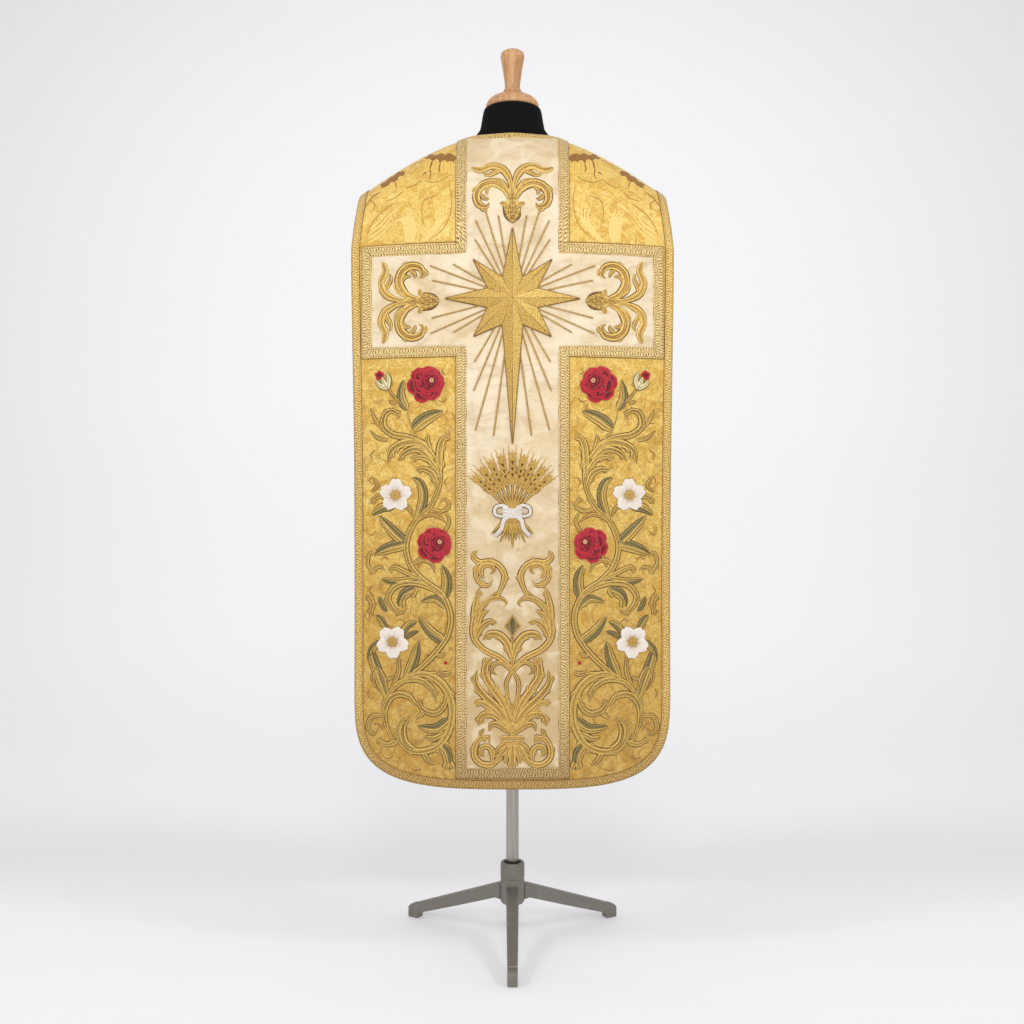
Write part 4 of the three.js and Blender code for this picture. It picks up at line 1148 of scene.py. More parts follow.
TENDRILS = [
    stroke(5, (137, 750), (118, 744), (104, 752), (110, 764), (120, 758)),
    stroke(5, (119, 700), (104, 726), (110, 744)),
    stroke(6, (168, 655), (150, 664), (132, 656), (128, 642)),
    stroke(5, (228, 640), (240, 656), (236, 676), (226, 668)),
    stroke(5, (236, 640), (222, 652), (210, 646)),
    stroke(7, (220, 602), (214, 586), (206, 578), finish=2),
    stroke(9, (240, 606), (232, 590), (238, 570), lobes=3, finish=1),
    stroke(5, (220, 884), (230, 900), (236, 916)),
    stroke(5, (206, 862), (224, 866), (238, 880)),
    stroke(6, (190, 930), (198, 924), (206, 928), finish=1),
    stroke(7, (212, 405), (232, 404), (240, 386), (230, 374), (222, 386)),
    stroke(8, (189, 364), (208, 358), (226, 368), lobes=2),
    stroke(5, (196, 470), (210, 466), (220, 476)),
    stroke(8, (148, 351), (140, 334), (128, 326)),
    stroke(7, (160, 402), (148, 412), (154, 426), (166, 424)),
    stroke(6, (110, 512), (118, 506), (126, 510), (122, 518)),
    stroke(7, (100, 480), (112, 476), (122, 482)),
    stroke(6, (140, 690), (150, 668), (156, 650), finish=1),
    stroke(6, (232, 800), (224, 786), (236, 776), finish=1),
]


def vine(flip):
    bm = start()
    add_ornament(bm, TENDRILS, ON_PANEL, {"flip": flip}, 1.1, under=3)
    add_ornament(bm, VINE, ON_PANEL, {"flip": flip}, under=3)
    berry = [((110 + shift) * flip, 494.7) for shift in (-3, 0, 3)]
    add_stroke(bm, berry, 6, ON_PANEL, 2.2, root=0.3, material=4, tone=0.2)
    side = "right" if flip > 0 else "left"
    finishes = [GOLD_LEAF, OLD_GOLD, SAGE, OUTLINE, CRIMSON]
    return finish_piece(bm, f"gold_vine_{side}", finishes, "gold_thread", [f"vine_{side}"])


vines = [vine(1), vine(-1)]
print("vines:", [len(v.data.polygons) for v in vines], "faces")

# %% [markdown]
# ## Damask leaves
#
# On the shoulders the damask's own woven leaves show: pale acanthus at the bottom and brown patches along
# the shoulder line, under gold leaf tips and fine veins. A few short brown threads lie beside the vines.
# All of them are almost flat strokes of their own silk, a tenth to about six tenths of a millimetre proud.

# %% Woven leaves on the shoulders
# three fans of pale leaves that rise from just above the cross's arm
PALE_LEAVES = [
    stroke(10 - i * 0.8, (166 + 2 * i, 1190), (163 + 3 * i, 1206 + 2 * i), (164 + 4.4 * i, 1224 + i),
           (172 + 5.2 * i, 1248 - 6 * i), blunt=3)
    for i in range(6)
]
PALE_LEAVES += [
    stroke(6 - i * 0.8, (150 - 2 * i, 1190), (136 - 4 * i, 1204 + 2 * i), (124 - 5 * i, 1228 + 2 * i),
           (132 - 8 * i, 1256 + i), blunt=2.5)
    for i in range(4)
]
PALE_LEAVES += [
    stroke(3.4, (240, 1192 + 7 * i), (216, 1206 + 9 * i), (196 + 2 * i, 1230 + 7 * i), blunt=2.5)
    for i in range(4)
]
# brown ground first, then the gold leaf tips that cover its lower edge
BROWN_PATCHES = [
    stroke(19, (96, 1334), (112, 1337), (128, 1342), (150, 1348), lobes=3, sides=(1,)),
    stroke(16, (182, 1320), (194, 1313), (208, 1304), (222, 1293), lobes=3, sides=(1,)),
    stroke(9, (86, 1374), (91, 1364), (93, 1352)),
    stroke(2.6, (120, 1330), (122, 1318), (117, 1308)),
    stroke(4, (134, 1336), (139, 1320), (150, 1308)),
    stroke(2.2, (138, 1322), (136, 1310), (139, 1298)),
    stroke(2.6, (197, 1302), (194, 1290), (198, 1280)),
    stroke(2.2, (150, 1342), (164, 1336), (172, 1326)),
    stroke(2.6, (222, 1286), (238, 1274), (247, 1258)),
    stroke(2, (240, 1272), (230, 1262), (232, 1250)),
]
LEAF_TIPS = [
    stroke(12, (101, 1306), (103, 1322), (105, 1332)),
    stroke(11, (114, 1308), (114, 1324), (114, 1335)),
    stroke(11, (129, 1310), (128, 1326), (127, 1339)),
    stroke(10, (144, 1314), (142, 1330), (140, 1343)),
    stroke(11, (182, 1292), (186, 1304), (189, 1313)),
    stroke(11, (198, 1282), (201, 1294), (203, 1303)),
    stroke(11, (213, 1272), (215, 1284), (217, 1293)),
]
LEAF_TIPS = [{**tip, "blunt": 9, "root": 0.8} for tip in LEAF_TIPS]
VEINS = [
    stroke(1.6, (106, 1304), (118, 1296), (134, 1294), (148, 1300)),
    stroke(1.6, (150, 1300), (164, 1290), (178, 1288)),
    stroke(1.6, (184, 1280), (196, 1270), (212, 1266)),
    stroke(1.5, (104, 1290), (100, 1250), (112, 1216), (140, 1193)),
    stroke(1.5, (126, 1270), (146, 1262), (150, 1240), (144, 1216)),
    stroke(1.6, (196, 1262), (214, 1250), (232, 1232), (244, 1206)),
    stroke(1.2, (103, 1330), (103, 1318), (101, 1306)),
    stroke(1.2, (114, 1332), (114, 1320), (114, 1308)),
    stroke(1.2, (128, 1336), (128, 1324), (129, 1312)),
    stroke(1.2, (142, 1340), (142, 1328), (144, 1316)),
]
# short brown threads woven into the side panels, beside the vines
BROWN_THREADS = [
    [(224, 900), (230, 890), (238, 892)], [(196, 918), (202, 912), (208, 914)],
    [(228, 846), (236, 838), (232, 828)], [(150, 974), (158, 978), (168, 974)],
    [(110, 968), (116, 974), (112, 982)], [(232, 804), (238, 794), (230, 788)],
    [(106, 800), (112, 792), (108, 784)], [(226, 712), (234, 704), (240, 708)],
    [(204, 664), (212, 668), (220, 662)], [(232, 620), (238, 612), (230, 604)],
    [(178, 560), (186, 566), (192, 560)], [(130, 500), (136, 508), (146, 504)],
    [(236, 450), (240, 440), (234, 432)], [(196, 340), (206, 334), (216, 340)],
    [(150, 320), (160, 316), (170, 322)], [(214, 380), (222, 392), (232, 390)],
    [(108, 930), (114, 924), (124, 928)], [(104, 560), (108, 548), (104, 538)],
]


def woven_leaves():
    bm = start()
    for flip in (1, -1):
        for line in BROWN_THREADS:
            add_stroke(bm, placed(line, flip), 2.6, PANEL_WALL + 0.12, 0.25, material=1)
    for flip in (1, -1):
        for row in PALE_LEAVES:
            add_ornament(bm, [{**row, "groove": 0.0}], PANEL_WALL + 0.1, {"flip": flip}, 0.22)
        where = {"flip": flip, "z": -4}
        for rows, finish, level in ((BROWN_PATCHES, 1, 0.12), (LEAF_TIPS, 2, 0.5), (VEINS, 3, 0.62)):
            for row in rows:
                flat_row = {**row, "groove": 0.0, "finish": finish}
                add_ornament(bm, [flat_row], PANEL_WALL + level, where, 0.25)
    return finish_piece(bm, "woven_leaves", [PALE, BROWN, LEAF_SILK, VEIN], "gold_thread")


leaves = woven_leaves()
print("woven leaves:", len(leaves.data.polygons), "faces")

# %% [markdown]
# ## The star and its rays
#
# Each ray of the star is two facets that rise to a ridge, worked in basket stitch and outlined in brown.
# The facets are triangles with few points, subdivided so that they bend with the cloth. Facets don't share
# points, so that each keeps its own flat light, and each is also given a painted tone, lighter towards the
# right, as painted light from that side. The thin rays round the star are cords.

# %% Star
STAR_Z = 1094.0
STAR_TIPS = [(0, 114), (64, 63), (110, 0), (63, -63), (0, -239), (-63, -63), (-110, 0), (-64, 63)]
STAR_NOTCHES = [
    (15.8, 33), (40, 15.6), (40, -15.6), (16.4, -43), (-16.4, -43), (-40, -15.6), (-40, 15.6), (-15.8, 33),
]
STAR_HEIGHTS = {"edge": 1.3, "middle": 5.6}
# angle from level and reach of each cord, on one half of the star
RAYS = [
    (13, 135), (22, 146), (30, 112), (57.5, 114), (64.7, 141), (72.8, 149), (80.3, 137),
    (-13.4, 136), (-23, 146), (-30, 112), (-59.4, 122), (-67.4, 165), (-74.4, 225), (-82.2, 228),
]


def make_star_finish():
    f = Finish("star_basket_stitch", rough=0.42, metal=0.25)
    uv, _, _ = f.thread()
    tone = f.stored("tone")
    turned = f.node("ShaderNodeMapping", {}, uv, None, (0.0, 0.0, 0.785))
    checks = f.node("ShaderNodeTexChecker", {}, turned, (1, 1, 1, 1), (0, 0, 0, 1), 520.0, out=1)
    speck = f.noise(uv, 430.0, 1.0)
    # painted light and shade: each facet's tone, set in star(), makes the facets towards the right lighter
    base = f.mix(tone, paint(188, 144, 64), paint(242, 206, 110))
    base = f.mix((checks * 0.3 + (speck - 0.5) * 6.0).ramp(0.1, 0.7) * 0.6, base, paint(146, 104, 40))
    f.colour(base)
    f.bump(checks * 0.5 + speck, 0.5, 0.4)
    return f.material


def add_facet(bm, corners, tone):
    """A triangle given as x, z and height from the star's middle, bent onto the cloth."""
    verts = [bm.verts.new((x, z, h)) for x, z, h in corners]
    face = bm.faces.new(verts)
    bmesh.ops.subdivide_edges(bm, edges=face.edges, cuts=5, use_grid_fill=True)
    fresh = [v for v in bm.verts if not v.tag]
    flat = np.array([v.co for v in fresh])
    spots = cloth(BACK, flat[:, 0], s_of_height(flat[:, 0], flat[:, 1] + STAR_Z), ON_SATIN + flat[:, 2])
    uv_layer, tone_layer = bm.loops.layers.uv["thread"], bm.verts.layers.float["tone"]
    for v, co, spot in zip(fresh, flat, spots):
        v.co = spot
        v.tag = True
        v[tone_layer] = tone
        for loop in v.link_loops:
            loop[uv_layer].uv = (co[0] * MM, co[1] * MM)


def star():
    bm = start()
    high = STAR_HEIGHTS
    for i, (tip, after) in enumerate(zip(STAR_TIPS, STAR_NOTCHES)):
        before = STAR_NOTCHES[i - 1]
        middle, point = (0, 0, high["middle"]), (*tip, high["edge"])
        # painted light: facets towards the right get a lighter tone, as if lit from the right
        add_facet(bm, [middle, (*before, high["edge"]), point], 0.5 if tip[0] < 0 or tip[1] > 0 else 0.8)
        add_facet(bm, [middle, point, (*after, high["edge"])], 0.5 if tip[0] < 0 or tip[1] < 0 else 0.7)
    obj = finish_piece(bm, "star_facets", [make_star_finish()], "gold_thread", ["star"], 1.0)
    obj.data.shade_flat()
    return obj


def star_cords():
    bm = start()
    slope = (ON_SATIN + STAR_HEIGHTS["middle"], ON_SATIN + STAR_HEIGHTS["edge"])
    for i, (tip, after) in enumerate(zip(STAR_TIPS, STAR_NOTCHES)):
        for notch in (STAR_NOTCHES[i - 1], after):
            outline = placed([notch, tip], z=STAR_Z)
            add_stroke(bm, outline, 3.0, ON_SATIN + 0.2, 2.4, even=True, tone=0.4, material=1)
        for end in (after, tip):
            add_stroke(bm, placed([(0, 0), end], z=STAR_Z), 2.0, slope, 1.2, even=True, tone=0.4, material=1)
    for angle, reach in RAYS:
        a = math.radians(angle)
        for flip in (1, -1):
            ahead = np.array([math.cos(a) * flip, math.sin(a)])
            line = placed([ahead * 32, ahead * (32 + reach) / 2, ahead * reach], z=STAR_Z)
            add_stroke(bm, line, 3.3, ON_SATIN, 1.4, even=True, tone=0.1)
    return finish_piece(bm, "star_rays_and_outline", [CORD, DARK_CORD], "gold_thread")


star_piece = star()
cords = star_cords()
print("star:", len(star_piece.data.polygons), "faces; cords:", len(cords.data.polygons))

# %% [markdown]
# ## Flowers
#
# A petal is a small grid whose width follows an arc, cupped at its tip. A rose has rings of petals, each ring
# smaller and higher than the one outside it, round a pale heart. A white flower has five broad petals, one
# ring of gold stamens and a raised middle.

# %% Petals
def add_petal(
    bm, centre, degrees, near, far, wide, low, high, cup=1.0, tone=0.5, material=0, deep=1.7,
):
    """One petal from near to far of the flower's middle.

    low and high are heights at its root and its tip. deep is how far its painted shade reaches from the root.
    """
    a = math.radians(degrees)
    ahead, side = np.array([math.cos(a), math.sin(a)]), np.array([-math.sin(a), math.cos(a)])

    def place(u, v):
        side_share = 2 * u - 1
        notch, wave = 0.05 * np.exp(-((side_share / 0.22) ** 2)), 0.02 * np.cos(side_share * 9)
        ruffle = (notch + wave) * (0.4 if deep > 2 else 1)
        run = near + (far - near) * v * (1 - 0.5 * np.abs(side_share) ** 3 - ruffle)
        off = -side_share * wide / 2 * ((v + 0.1) / 1.1) ** 0.6
        x = centre[0] + ahead[0] * run + side[0] * off
        z = centre[1] + ahead[1] * run + side[1] * off
        rim = np.maximum(np.abs(side_share) ** 2, np.clip(v * 3.2 - 2.2, 0, 1))
        rise = low + (high - low) * v + cup * np.sin(v * math.pi) * (1 - side_share**2) - 0.8 * rim**3
        spots = cloth(BACK, x, s_of_height(x, z), ON_PANEL + rise)
        return spots, np.stack([off, run], 1) * MM, rim, tone * np.clip(deep - 2.1 * v, 0, 1)

    add_grid(bm, 11, 9, place, material)


# petals, near, far and width in shares of the radius, heights in mm, and how far the ring leans to the heart
ROSE_RINGS = [
    (6, 0.40, 1.00, 0.90, 0.6, 1.8, -0.1),
    (5, 0.30, 0.85, 0.90, 1.6, 3.0, 0.2),
    (3, 0.10, 0.69, 1.16, 2.4, 4.4, 0.6),
    (3, 0.08, 0.55, 1.02, 3.8, 5.3, 0.74),
    (3, 0.06, 0.41, 0.80, 4.8, 6.1, 0.88),
    (3, 0.02, 0.28, 0.54, 5.6, 6.7, 0.96),
]
# petals, reach in shares of the radius, height in mm, tone and finish of the heart's rings; tone is the
# strength of the painted shade at each petal's root
ROSE_HEART_RINGS = [(6, 0.19, 6.9, 1.0, 0), (6, 0.14, 7.4, 0.2, 1), (4, 0.05, 7.8, 1.0, 1)]


def rose(name, x, z, radius, turn, flip):
    bm = start()
    middle = np.array([x * flip, z])
    lean = np.array([-0.33 * flip, 0.14]) * radius
    for k, (petals, near, far, wide, low, high, shift) in enumerate(ROSE_RINGS):
        for i in range(petals):
            degrees = turn + 47 * k + i * 360 / petals
            lift = 0.4 * (i % 2)
            sizes = (near * radius, far * radius * (1 + 0.05 * math.sin(5 * i + k)), wide * radius)
            heights = (low + lift, high + lift)
            add_petal(bm, middle + lean * shift, degrees, *sizes, *heights, 1.0, 1.0, deep=2.05)
    for petals, reach, high, tone, material in ROSE_HEART_RINGS:
        size = reach * radius
        for i in range(petals):
            heights = (high - 0.5, high)
            add_petal(bm, middle + lean, 360 / petals * i, 0.0, size, size, *heights, 0.4, tone, material)
    return finish_piece(bm, f"silk_{name}", [CRIMSON, ROSE_HEART], "rose_silk", [name])


def white_flower(name, x, z, radius, turn, flip):
    bm = start()
    centre = np.array([x * flip, z])
    for i in range(5):
        degrees = (turn + 72 * i) * flip + (180 if flip < 0 else 0)
        high = 2.2 + 0.5 * (i % 2)
        add_petal(bm, centre, degrees, 0.10 * radius, radius, 0.9 * radius, 0.9, high, 1.3, 0.5)
    for i in range(16):
        a = math.radians(360 / 16 * i + 8)
        ahead = np.array([math.cos(a), math.sin(a)])
        reach = radius * (0.33 + 0.08 * (i % 2))
        line = [centre + ahead * 3, centre + ahead * reach * 0.6, centre + ahead * reach]
        add_stroke(bm, line, 2.4, ON_PANEL + 2.9, 0.9, root=0.9, material=1, tone=0.3)
    for i in range(5):
        add_petal(bm, centre, 72 * i, 0.0, 0.2 * radius, 0.2 * radius, 3.6, 4.3, 0.7, 0.5, 1)
    return finish_piece(bm, f"silk_{name}", [WHITE, GOLD], "white_silk", [name])


def bud(name, x, z, radius, flip):
    bm = start()
    tip = np.array([(x + 5) * flip, z + 7])
    for i in range(5):
        add_petal(bm, tip, 20 + 72 * i, 0.0, 0.6 * radius, 0.55 * radius, 2.6, 3.4, 0.8, 0.8)
    for bend in (-8, 0, 8):
        root = np.array([(x - 8) * flip, z - 16])
        middle = np.array([(x - 3 + bend) * flip, z - 5 - bend * 0.5])
        end = np.array([(x + 2 + bend) * flip, z + 6 - bend * 0.8])
        add_stroke(bm, [root, middle, end], 10, ON_PANEL + 1.7, 0.4, root=0.5, material=2)
        add_stroke(bm, [root, middle, end], 7.5, ON_PANEL + 1.8, 2.4, root=0.5, material=1, tone=0.4)
    return finish_piece(bm, f"silk_{name}", [CRIMSON, SEPAL, SAGE], "rose_silk", [name])


flowers = []
for suffix, flip in (("right", 1), ("left", -1)):
    flowers += [
        rose(f"rose_upper_{suffix}", 141.5, 955, 31, 10, flip),
        rose(f"rose_lower_{suffix}", 128, 690, 29.5, 40, flip),
        white_flower(f"white_upper_{suffix}", 193, 771, 27.5, 20, flip),
        white_flower(f"white_lower_{suffix}", 198, 528, 27.5, 50, flip),
        bud(f"bud_{suffix}", 215, 963, 14, flip),
    ]
print("flowers:", len(flowers))

# %% [markdown]
# ## The dress form and its stand
#
# The form is lofted from level rings that stay inside the garment, smoothed between, under matt black jersey.
# The wooden cap and finial, the pole and the hub are turned, so their outlines are spun. The legs are cast:
# a profile drawn from a few points, extruded, tapered and bevelled.

# %% Finishes of the stand
def make_jersey():
    f = Finish("black_jersey", rough=0.95)
    spot, _ = f.place()
    knit = f.noise(f.stretched(spot, 900.0, 900.0, 500.0), 1.0, 2.0)
    f.surface.inputs["Specular IOR Level"].default_value = 0.15
    f.colour(f.mix(knit, paint(6, 6, 7), paint(20, 20, 22)))
    f.bump(knit, 0.4, 0.3)
    return f.material


def make_beech():
    f = Finish("varnished_beech", rough=0.35)
    spot, _ = f.place()
    grain = f.noise(f.stretched(spot, 160.0, 160.0, 9.0), 1.0, 4.0, 0.4)
    flecks = f.noise(f.stretched(spot, 900.0, 900.0, 120.0), 1.0, 2.0)
    base = f.mix(grain.ramp(0.3, 0.7), paint(216, 168, 119), paint(185, 134, 86))
    f.colour(f.mix(flecks.ramp(0.6, 0.75) * 0.4, base, paint(170, 118, 74)))
    f.bump(grain, 0.15, 0.2)
    return f.material


def make_steel():
    f = Finish("brushed_steel", rough=0.34, metal=1.0)
    spot, _ = f.place()
    lines = f.noise(f.stretched(spot, 420.0, 420.0, 5.0), 1.0, 3.0)
    f.colour(f.mix(lines, paint(136, 130, 123), paint(204, 199, 193)))
    f.rough(0.3 + lines * 0.15)
    return f.material


def make_cast():
    f = Finish("grey_casting", rough=0.5, metal=0.55)
    spot, _ = f.place()
    grit = f.noise(spot, 900.0, 2.0)
    wear = f.noise(spot, 60.0, 3.0)
    base = f.mix(grit, paint(112, 107, 100), paint(150, 145, 138))
    f.colour(f.mix(wear.ramp(0.55, 0.75) * 0.4, base, paint(150, 146, 140)))
    f.rough(0.42 + grit * 0.2)
    f.bump(grit, 0.25, 0.2)
    return f.material


JERSEY, BEECH, STEEL, CAST = make_jersey(), make_beech(), make_steel(), make_cast()
print("stand finishes are ready")

# %% Dress form
# height, half width, depth behind and depth before the pole
FORM = [
    (690, 164, 105, 98), (702, 172, 112, 104), (780, 175, 114, 106), (860, 166, 108, 104),
    (940, 158, 102, 103), (1020, 165, 106, 110), (1120, 178, 114, 119), (1200, 186, 113, 118),
    (1260, 194, 106, 110), (1300, 197, 98, 102), (1325, 192, 89, 92), (1337.5, 183, 81, 84),
    (1350.2, 160, 75, 78), (1364.9, 130, 68, 71), (1377.6, 100, 62, 66), (1383.6, 76, 58, 60),
    (1408, 57, 56, 57), (1420, 54.5, 54.5, 54.5), (1438, 51.5, 51.5, 51.5), (1444, 49.8, 49.8, 49.8),
    (1446, 47, 47, 47), (1446, 0, 0, 0),
]


def dress_form():
    bm = start()
    rings = [(690, 0, 0, 0), *FORM]

    def place(u, v):
        at = v * (len(rings) - 1)
        ring = np.array([np.interp(at, np.arange(len(rings)), column) for column in zip(*rings)])
        angle = u * math.tau
        depth = np.where(np.sin(angle) < 0, ring[2], ring[3])
        points = np.stack([ring[1] * np.cos(angle), depth * np.sin(angle) + POLE_Y, ring[0]], 1)
        return points * MM, np.stack([u, v], 1), 0.0, 0.5

    add_grid(bm, 97, 4 * (len(rings) - 1) + 1, place)
    bmesh.ops.remove_doubles(bm, verts=bm.verts, dist=1e-6)
    body = [v for v in bm.verts if 0.70 < v.co.z < 1.30]
    for _ in range(2):
        bmesh.ops.smooth_vert(bm, verts=body, factor=0.5, use_axis_z=True)
    bmesh.ops.recalc_face_normals(bm, faces=bm.faces)
    return finish_piece(bm, "jersey_form", [JERSEY], "jersey", ["bust"])


form = dress_form()
print("dress form:", len(form.data.polygons), "faces")

# %% Turned pieces
# finish, slot, and the outline's radii and heights
TURNED = {
    "neck_cap": (BEECH, "beech", [
        (0, 1446.3), (45.5, 1446.3), (46.8, 1449), (46.2, 1454), (44, 1458.5), (38.5, 1464.5),
        (30, 1469), (18, 1473), (0, 1473),
    ]),
    "finial": (BEECH, "beech", [
        (0, 1473.3), (15, 1473.3), (16, 1475.5), (16, 1479.5), (14.4, 1481.4), (13.4, 1483),
        (13.5, 1488), (13.9, 1494), (15.6, 1507), (17.5, 1520), (20.4, 1534), (21, 1539.5),
        (19.5, 1545.5), (13, 1549.5), (6, 1550.8), (0, 1551),
    ]),
    "pole": (STEEL, "steel", [(0, 75.3), (11, 75.3), (11, 689.7), (0, 689.7)]),
    "hub": (CAST, "cast_iron", [
        (0, 60), (18, 60), (21, 64), (21, 100), (20.2, 101), (20.2, 104), (21, 105), (21, 128),
        (20, 131), (19, 132), (16, 132), (15, 131), (14.6, 125), (11.3, 125), (11.3, 75), (0, 75),
    ]),
}


def turned(node, finish, slot, outline):
    """Spins an outline of radius and height about the pole's axis, and rounds its sharp edges."""
    bm = start()
    verts = [bm.verts.new((r * MM, POLE_Y * MM, z * MM)) for r, z in outline]
    edges = [bm.edges.new(pair) for pair in zip(verts, verts[1:])]
    axis = {"cent": (0, POLE_Y * MM, 0), "axis": (0, 0, 1)}
    bmesh.ops.spin(bm, geom=[*verts, *edges], **axis, angle=math.tau, steps=72, use_merge=True)
    bmesh.ops.remove_doubles(bm, verts=bm.verts, dist=1e-6)
    bmesh.ops.recalc_face_normals(bm, faces=bm.faces)
    sharp = [e for e in bm.edges if len(e.link_faces) == 2 and e.calc_face_angle(0) > 0.6]
    rounding = {"affect": "EDGES", "segments": 2, "profile": 0.5, "material": -1}
    bmesh.ops.bevel(bm, geom=sharp, offset=0.5 * MM, **rounding)
    return finish_piece(bm, f"turned_{node}", [finish], slot, [node])


for node, (finish, slot, outline) in TURNED.items():
    turned(node, finish, slot, outline)
print("turned pieces:", list(TURNED))

# %% Legs
# distance from the pole's axis and height, anticlockwise from under the hub, with a notch above the toe
LEG_PROFILE = [
    (12, 64), (30, 66), (110, 38), (190, 11), (195, 6), (196, 0), (215, 0), (217, 3),
    (217, 18), (212, 23), (203.4, 25.9), (202.6, 24.6), (201, 25), (200, 27), (24, 92.5), (12, 92.5),
]
LEG_IN, LEG_OUT = 12, 217
LEG_WIDE, TOE_WIDE = 22, 16
HUB_CUT = 19


def leg(node, degrees):
    bm = start()
    outline = [bm.verts.new((r * MM, -0.5, z * MM)) for r, z in LEG_PROFILE]
    face = bm.faces.new(outline)
    grown = bmesh.ops.extrude_face_region(bm, geom=[face])["geom"]
    bmesh.ops.translate(bm, verts=[v for v in grown if isinstance(v, bmesh.types.BMVert)], vec=(0, 1.0, 0))
    for v in bm.verts:
        v.co.y *= (LEG_WIDE + (TOE_WIDE - LEG_WIDE) * (v.co.x / MM - LEG_IN) / (LEG_OUT - LEG_IN)) * MM
    plane = {"plane_co": (HUB_CUT * MM, 0, 0), "plane_no": (-1, 0, 0)}
    bmesh.ops.bisect_plane(bm, geom=[*bm.verts, *bm.edges, *bm.faces], **plane, clear_outer=True)
    open_edges = [e for e in bm.edges if e.is_boundary]
    bmesh.ops.holes_fill(bm, edges=open_edges, sides=0)
    bmesh.ops.recalc_face_normals(bm, faces=bm.faces)
    off_floor = [e for e in bm.edges if min(v.co.z for v in e.verts) > 0.5 * MM]
    sharp = [e for e in off_floor if e.calc_face_angle(0) > 0.9]
    rounding = {"affect": "EDGES", "segments": 3, "profile": 0.5, "material": -1}
    bmesh.ops.bevel(bm, geom=sharp, offset=1.6 * MM, **rounding)
    sides = [face for face in bm.faces if abs(face.normal.y) > 0.9 and face.calc_area() > 0.002]
    bmesh.ops.inset_region(bm, faces=sides, thickness=2.2 * MM, depth=-0.7 * MM, use_even_offset=True)
    a = math.radians(degrees)
    for v in bm.verts:
        x, y = v.co.x, v.co.y
        v.co.x = x * math.cos(a) - y * math.sin(a)
        v.co.y = x * math.sin(a) + y * math.cos(a) + POLE_Y * MM
    obj = finish_piece(bm, f"cast_{node}", [CAST], "cast_iron", [node])
    obj.data.set_sharp_from_angle(angle=0.6)
    return obj


legs = [leg("leg_back", -90), leg("leg_right", 30), leg("leg_left", 150)]
print("legs:", [o.name for o in legs])

# %% [markdown]
# ## The size of the cloth
#
# The panels are wider and longer than they look from outside, because they bow round the form and turn over
# the shoulders.

# %% Size of the cloth
print("the cloth's panels are made")

# %% [markdown]
# ## Light, floor and camera
#
# A pale floor curves up into a pale wall. Its white is painted greyer away from the middle, lower down, in a
# band on the floor behind the stand and in front of it, as painted shade, and it glows faintly as painted
# light. A large soft light above the camera shows the relief of the embroidery, a smaller one on each side
# lights the cloth's edges, and the white surroundings fill the shadows.

# %% Studio
WALL_Y, WALL_BEND = 2.0, 1.2  # where the floor starts to curve up, and the curve's radius, in metres
FLOOR_GAP = 0.0002  # keeps the floor just under the feet


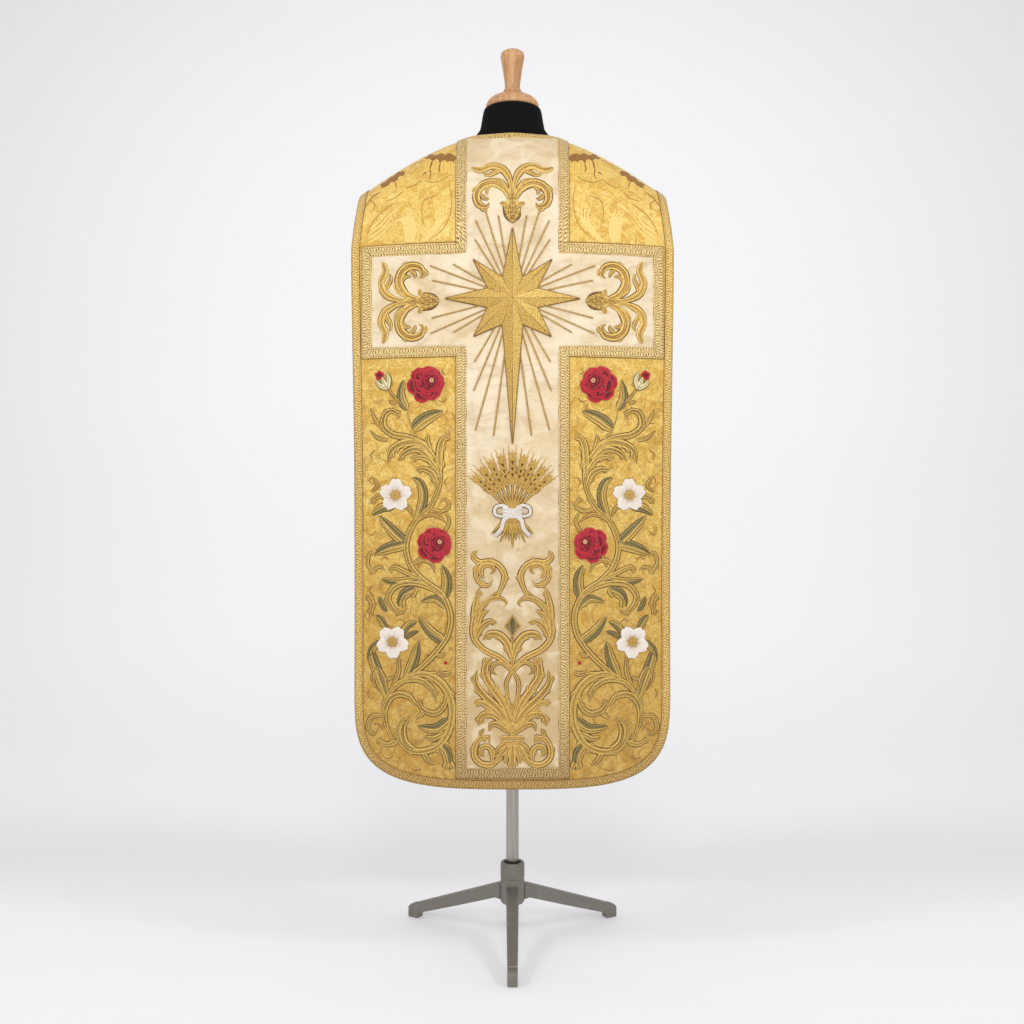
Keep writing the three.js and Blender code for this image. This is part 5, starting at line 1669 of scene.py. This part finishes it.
def studio_sweep():
    bm = bmesh.new()
    grid = bmesh.ops.create_grid(bm, x_segments=2, y_segments=140, size=0.5)["verts"]
    for v in grid:
        share = v.co.y + 0.5
        run = share * 20.0 - 10.0
        a = (run - WALL_Y) / WALL_BEND
        if a <= 0:
            y, z = run, 0.0
        elif a <= math.pi / 2:
            y, z = WALL_Y + WALL_BEND * math.sin(a), WALL_BEND * (1 - math.cos(a))
        else:
            y, z = WALL_Y + WALL_BEND, WALL_BEND + run - WALL_Y - WALL_BEND * math.pi / 2
        v.co = (v.co.x * 24.0, y, z - FLOOR_GAP)
    mesh = bpy.data.meshes.new("studio_sweep")
    bm.to_mesh(mesh)
    bm.free()
    mesh.shade_smooth()
    f = Finish("paper_white_painted_shade_and_glow", rough=0.9)
    spot, height = f.place()
    depth = f.node("ShaderNodeSeparateXYZ", {}, spot, out=1)
    flat = f.node("ShaderNodeVectorMath", {"operation": "MULTIPLY_ADD"}, spot, (1, 0, 1), (0, 0, -0.9))
    away = f.node("ShaderNodeVectorMath", {"operation": "LENGTH"}, flat, out=1)
    # painted shade: the white greys away from the middle, lower down, in a band on the floor behind the stand
    # and in front of it
    corner = depth.ramp(0.15, 0.6) * (1.0 - (height * 0.6 + (depth - 0.6) * 0.35).ramp(0.0, 1.0))
    shade = away.ramp(0.9, 5.2) + (1.0 - height.ramp(0.8, 2.8)) * 0.24 + corner * 0.34
    shade = shade + (1.0 - depth.ramp(0.25, 1.1)) * 0.42
    white_with_painted_shade = f.mix(shade, paint(253, 253, 254), paint(222, 222, 225))
    # painted light: the sweep glows with this shaded white
    f.feed(f.surface, [("Base Color", white_with_painted_shade), ("Emission Color", white_with_painted_shade)])
    f.surface.inputs["Emission Strength"].default_value = 0.2
    mesh.materials.append(f.material)
    sweep = bpy.data.objects.new("studio_sweep", mesh)
    bpy.context.scene.collection.objects.link(sweep)


def soft_light(name, place, aim, size, power):
    data = bpy.data.lights.new(name, "AREA")
    data.shape = "DISK"
    data.size = size
    data.energy = power
    lamp = bpy.data.objects.new(name, data)
    lamp.location = place
    lamp.rotation_euler = (Vector(aim) - Vector(place)).to_track_quat("-Z", "Y").to_euler()
    bpy.context.scene.collection.objects.link(lamp)


studio_sweep()
soft_light("key", (0.1, -3.2, 2.3), (0, 0, 0.8), 1.0, 33)
soft_light("side_left", (-2.0, -1.0, 2.6), (0, 0, 0.4), 0.6, 13)
soft_light("side_right", (2.0, -1.0, 2.6), (0, 0, 0.4), 0.6, 13)
world = bpy.data.worlds.new("white_room")
world.use_nodes = True
background = world.node_tree.nodes["Background"].inputs
background["Color"].default_value = (1.0, 1.0, 1.0, 1.0)
background["Strength"].default_value = 0.56
bpy.context.scene.world = world
bpy.context.scene.view_settings.view_transform = "Standard"

# %% Camera
CAMERA_X, CAMERA_BACK, CAMERA_Z = -0.8, 2016, 743
camera_data = bpy.data.cameras.new("camera")
camera_data.lens = 40.5
camera_data.sensor_width = 36
camera = bpy.data.objects.new("camera", camera_data)
camera.location = (CAMERA_X * MM, (POLE_Y - CAMERA_BACK) * MM, CAMERA_Z * MM)
camera.rotation_euler = (math.pi / 2, 0, 0)
bpy.context.scene.collection.objects.link(camera)
bpy.context.scene.camera = camera
print("camera at", [round(c, 3) for c in camera.location])

# %% Update the scene
bpy.context.view_layer.update()
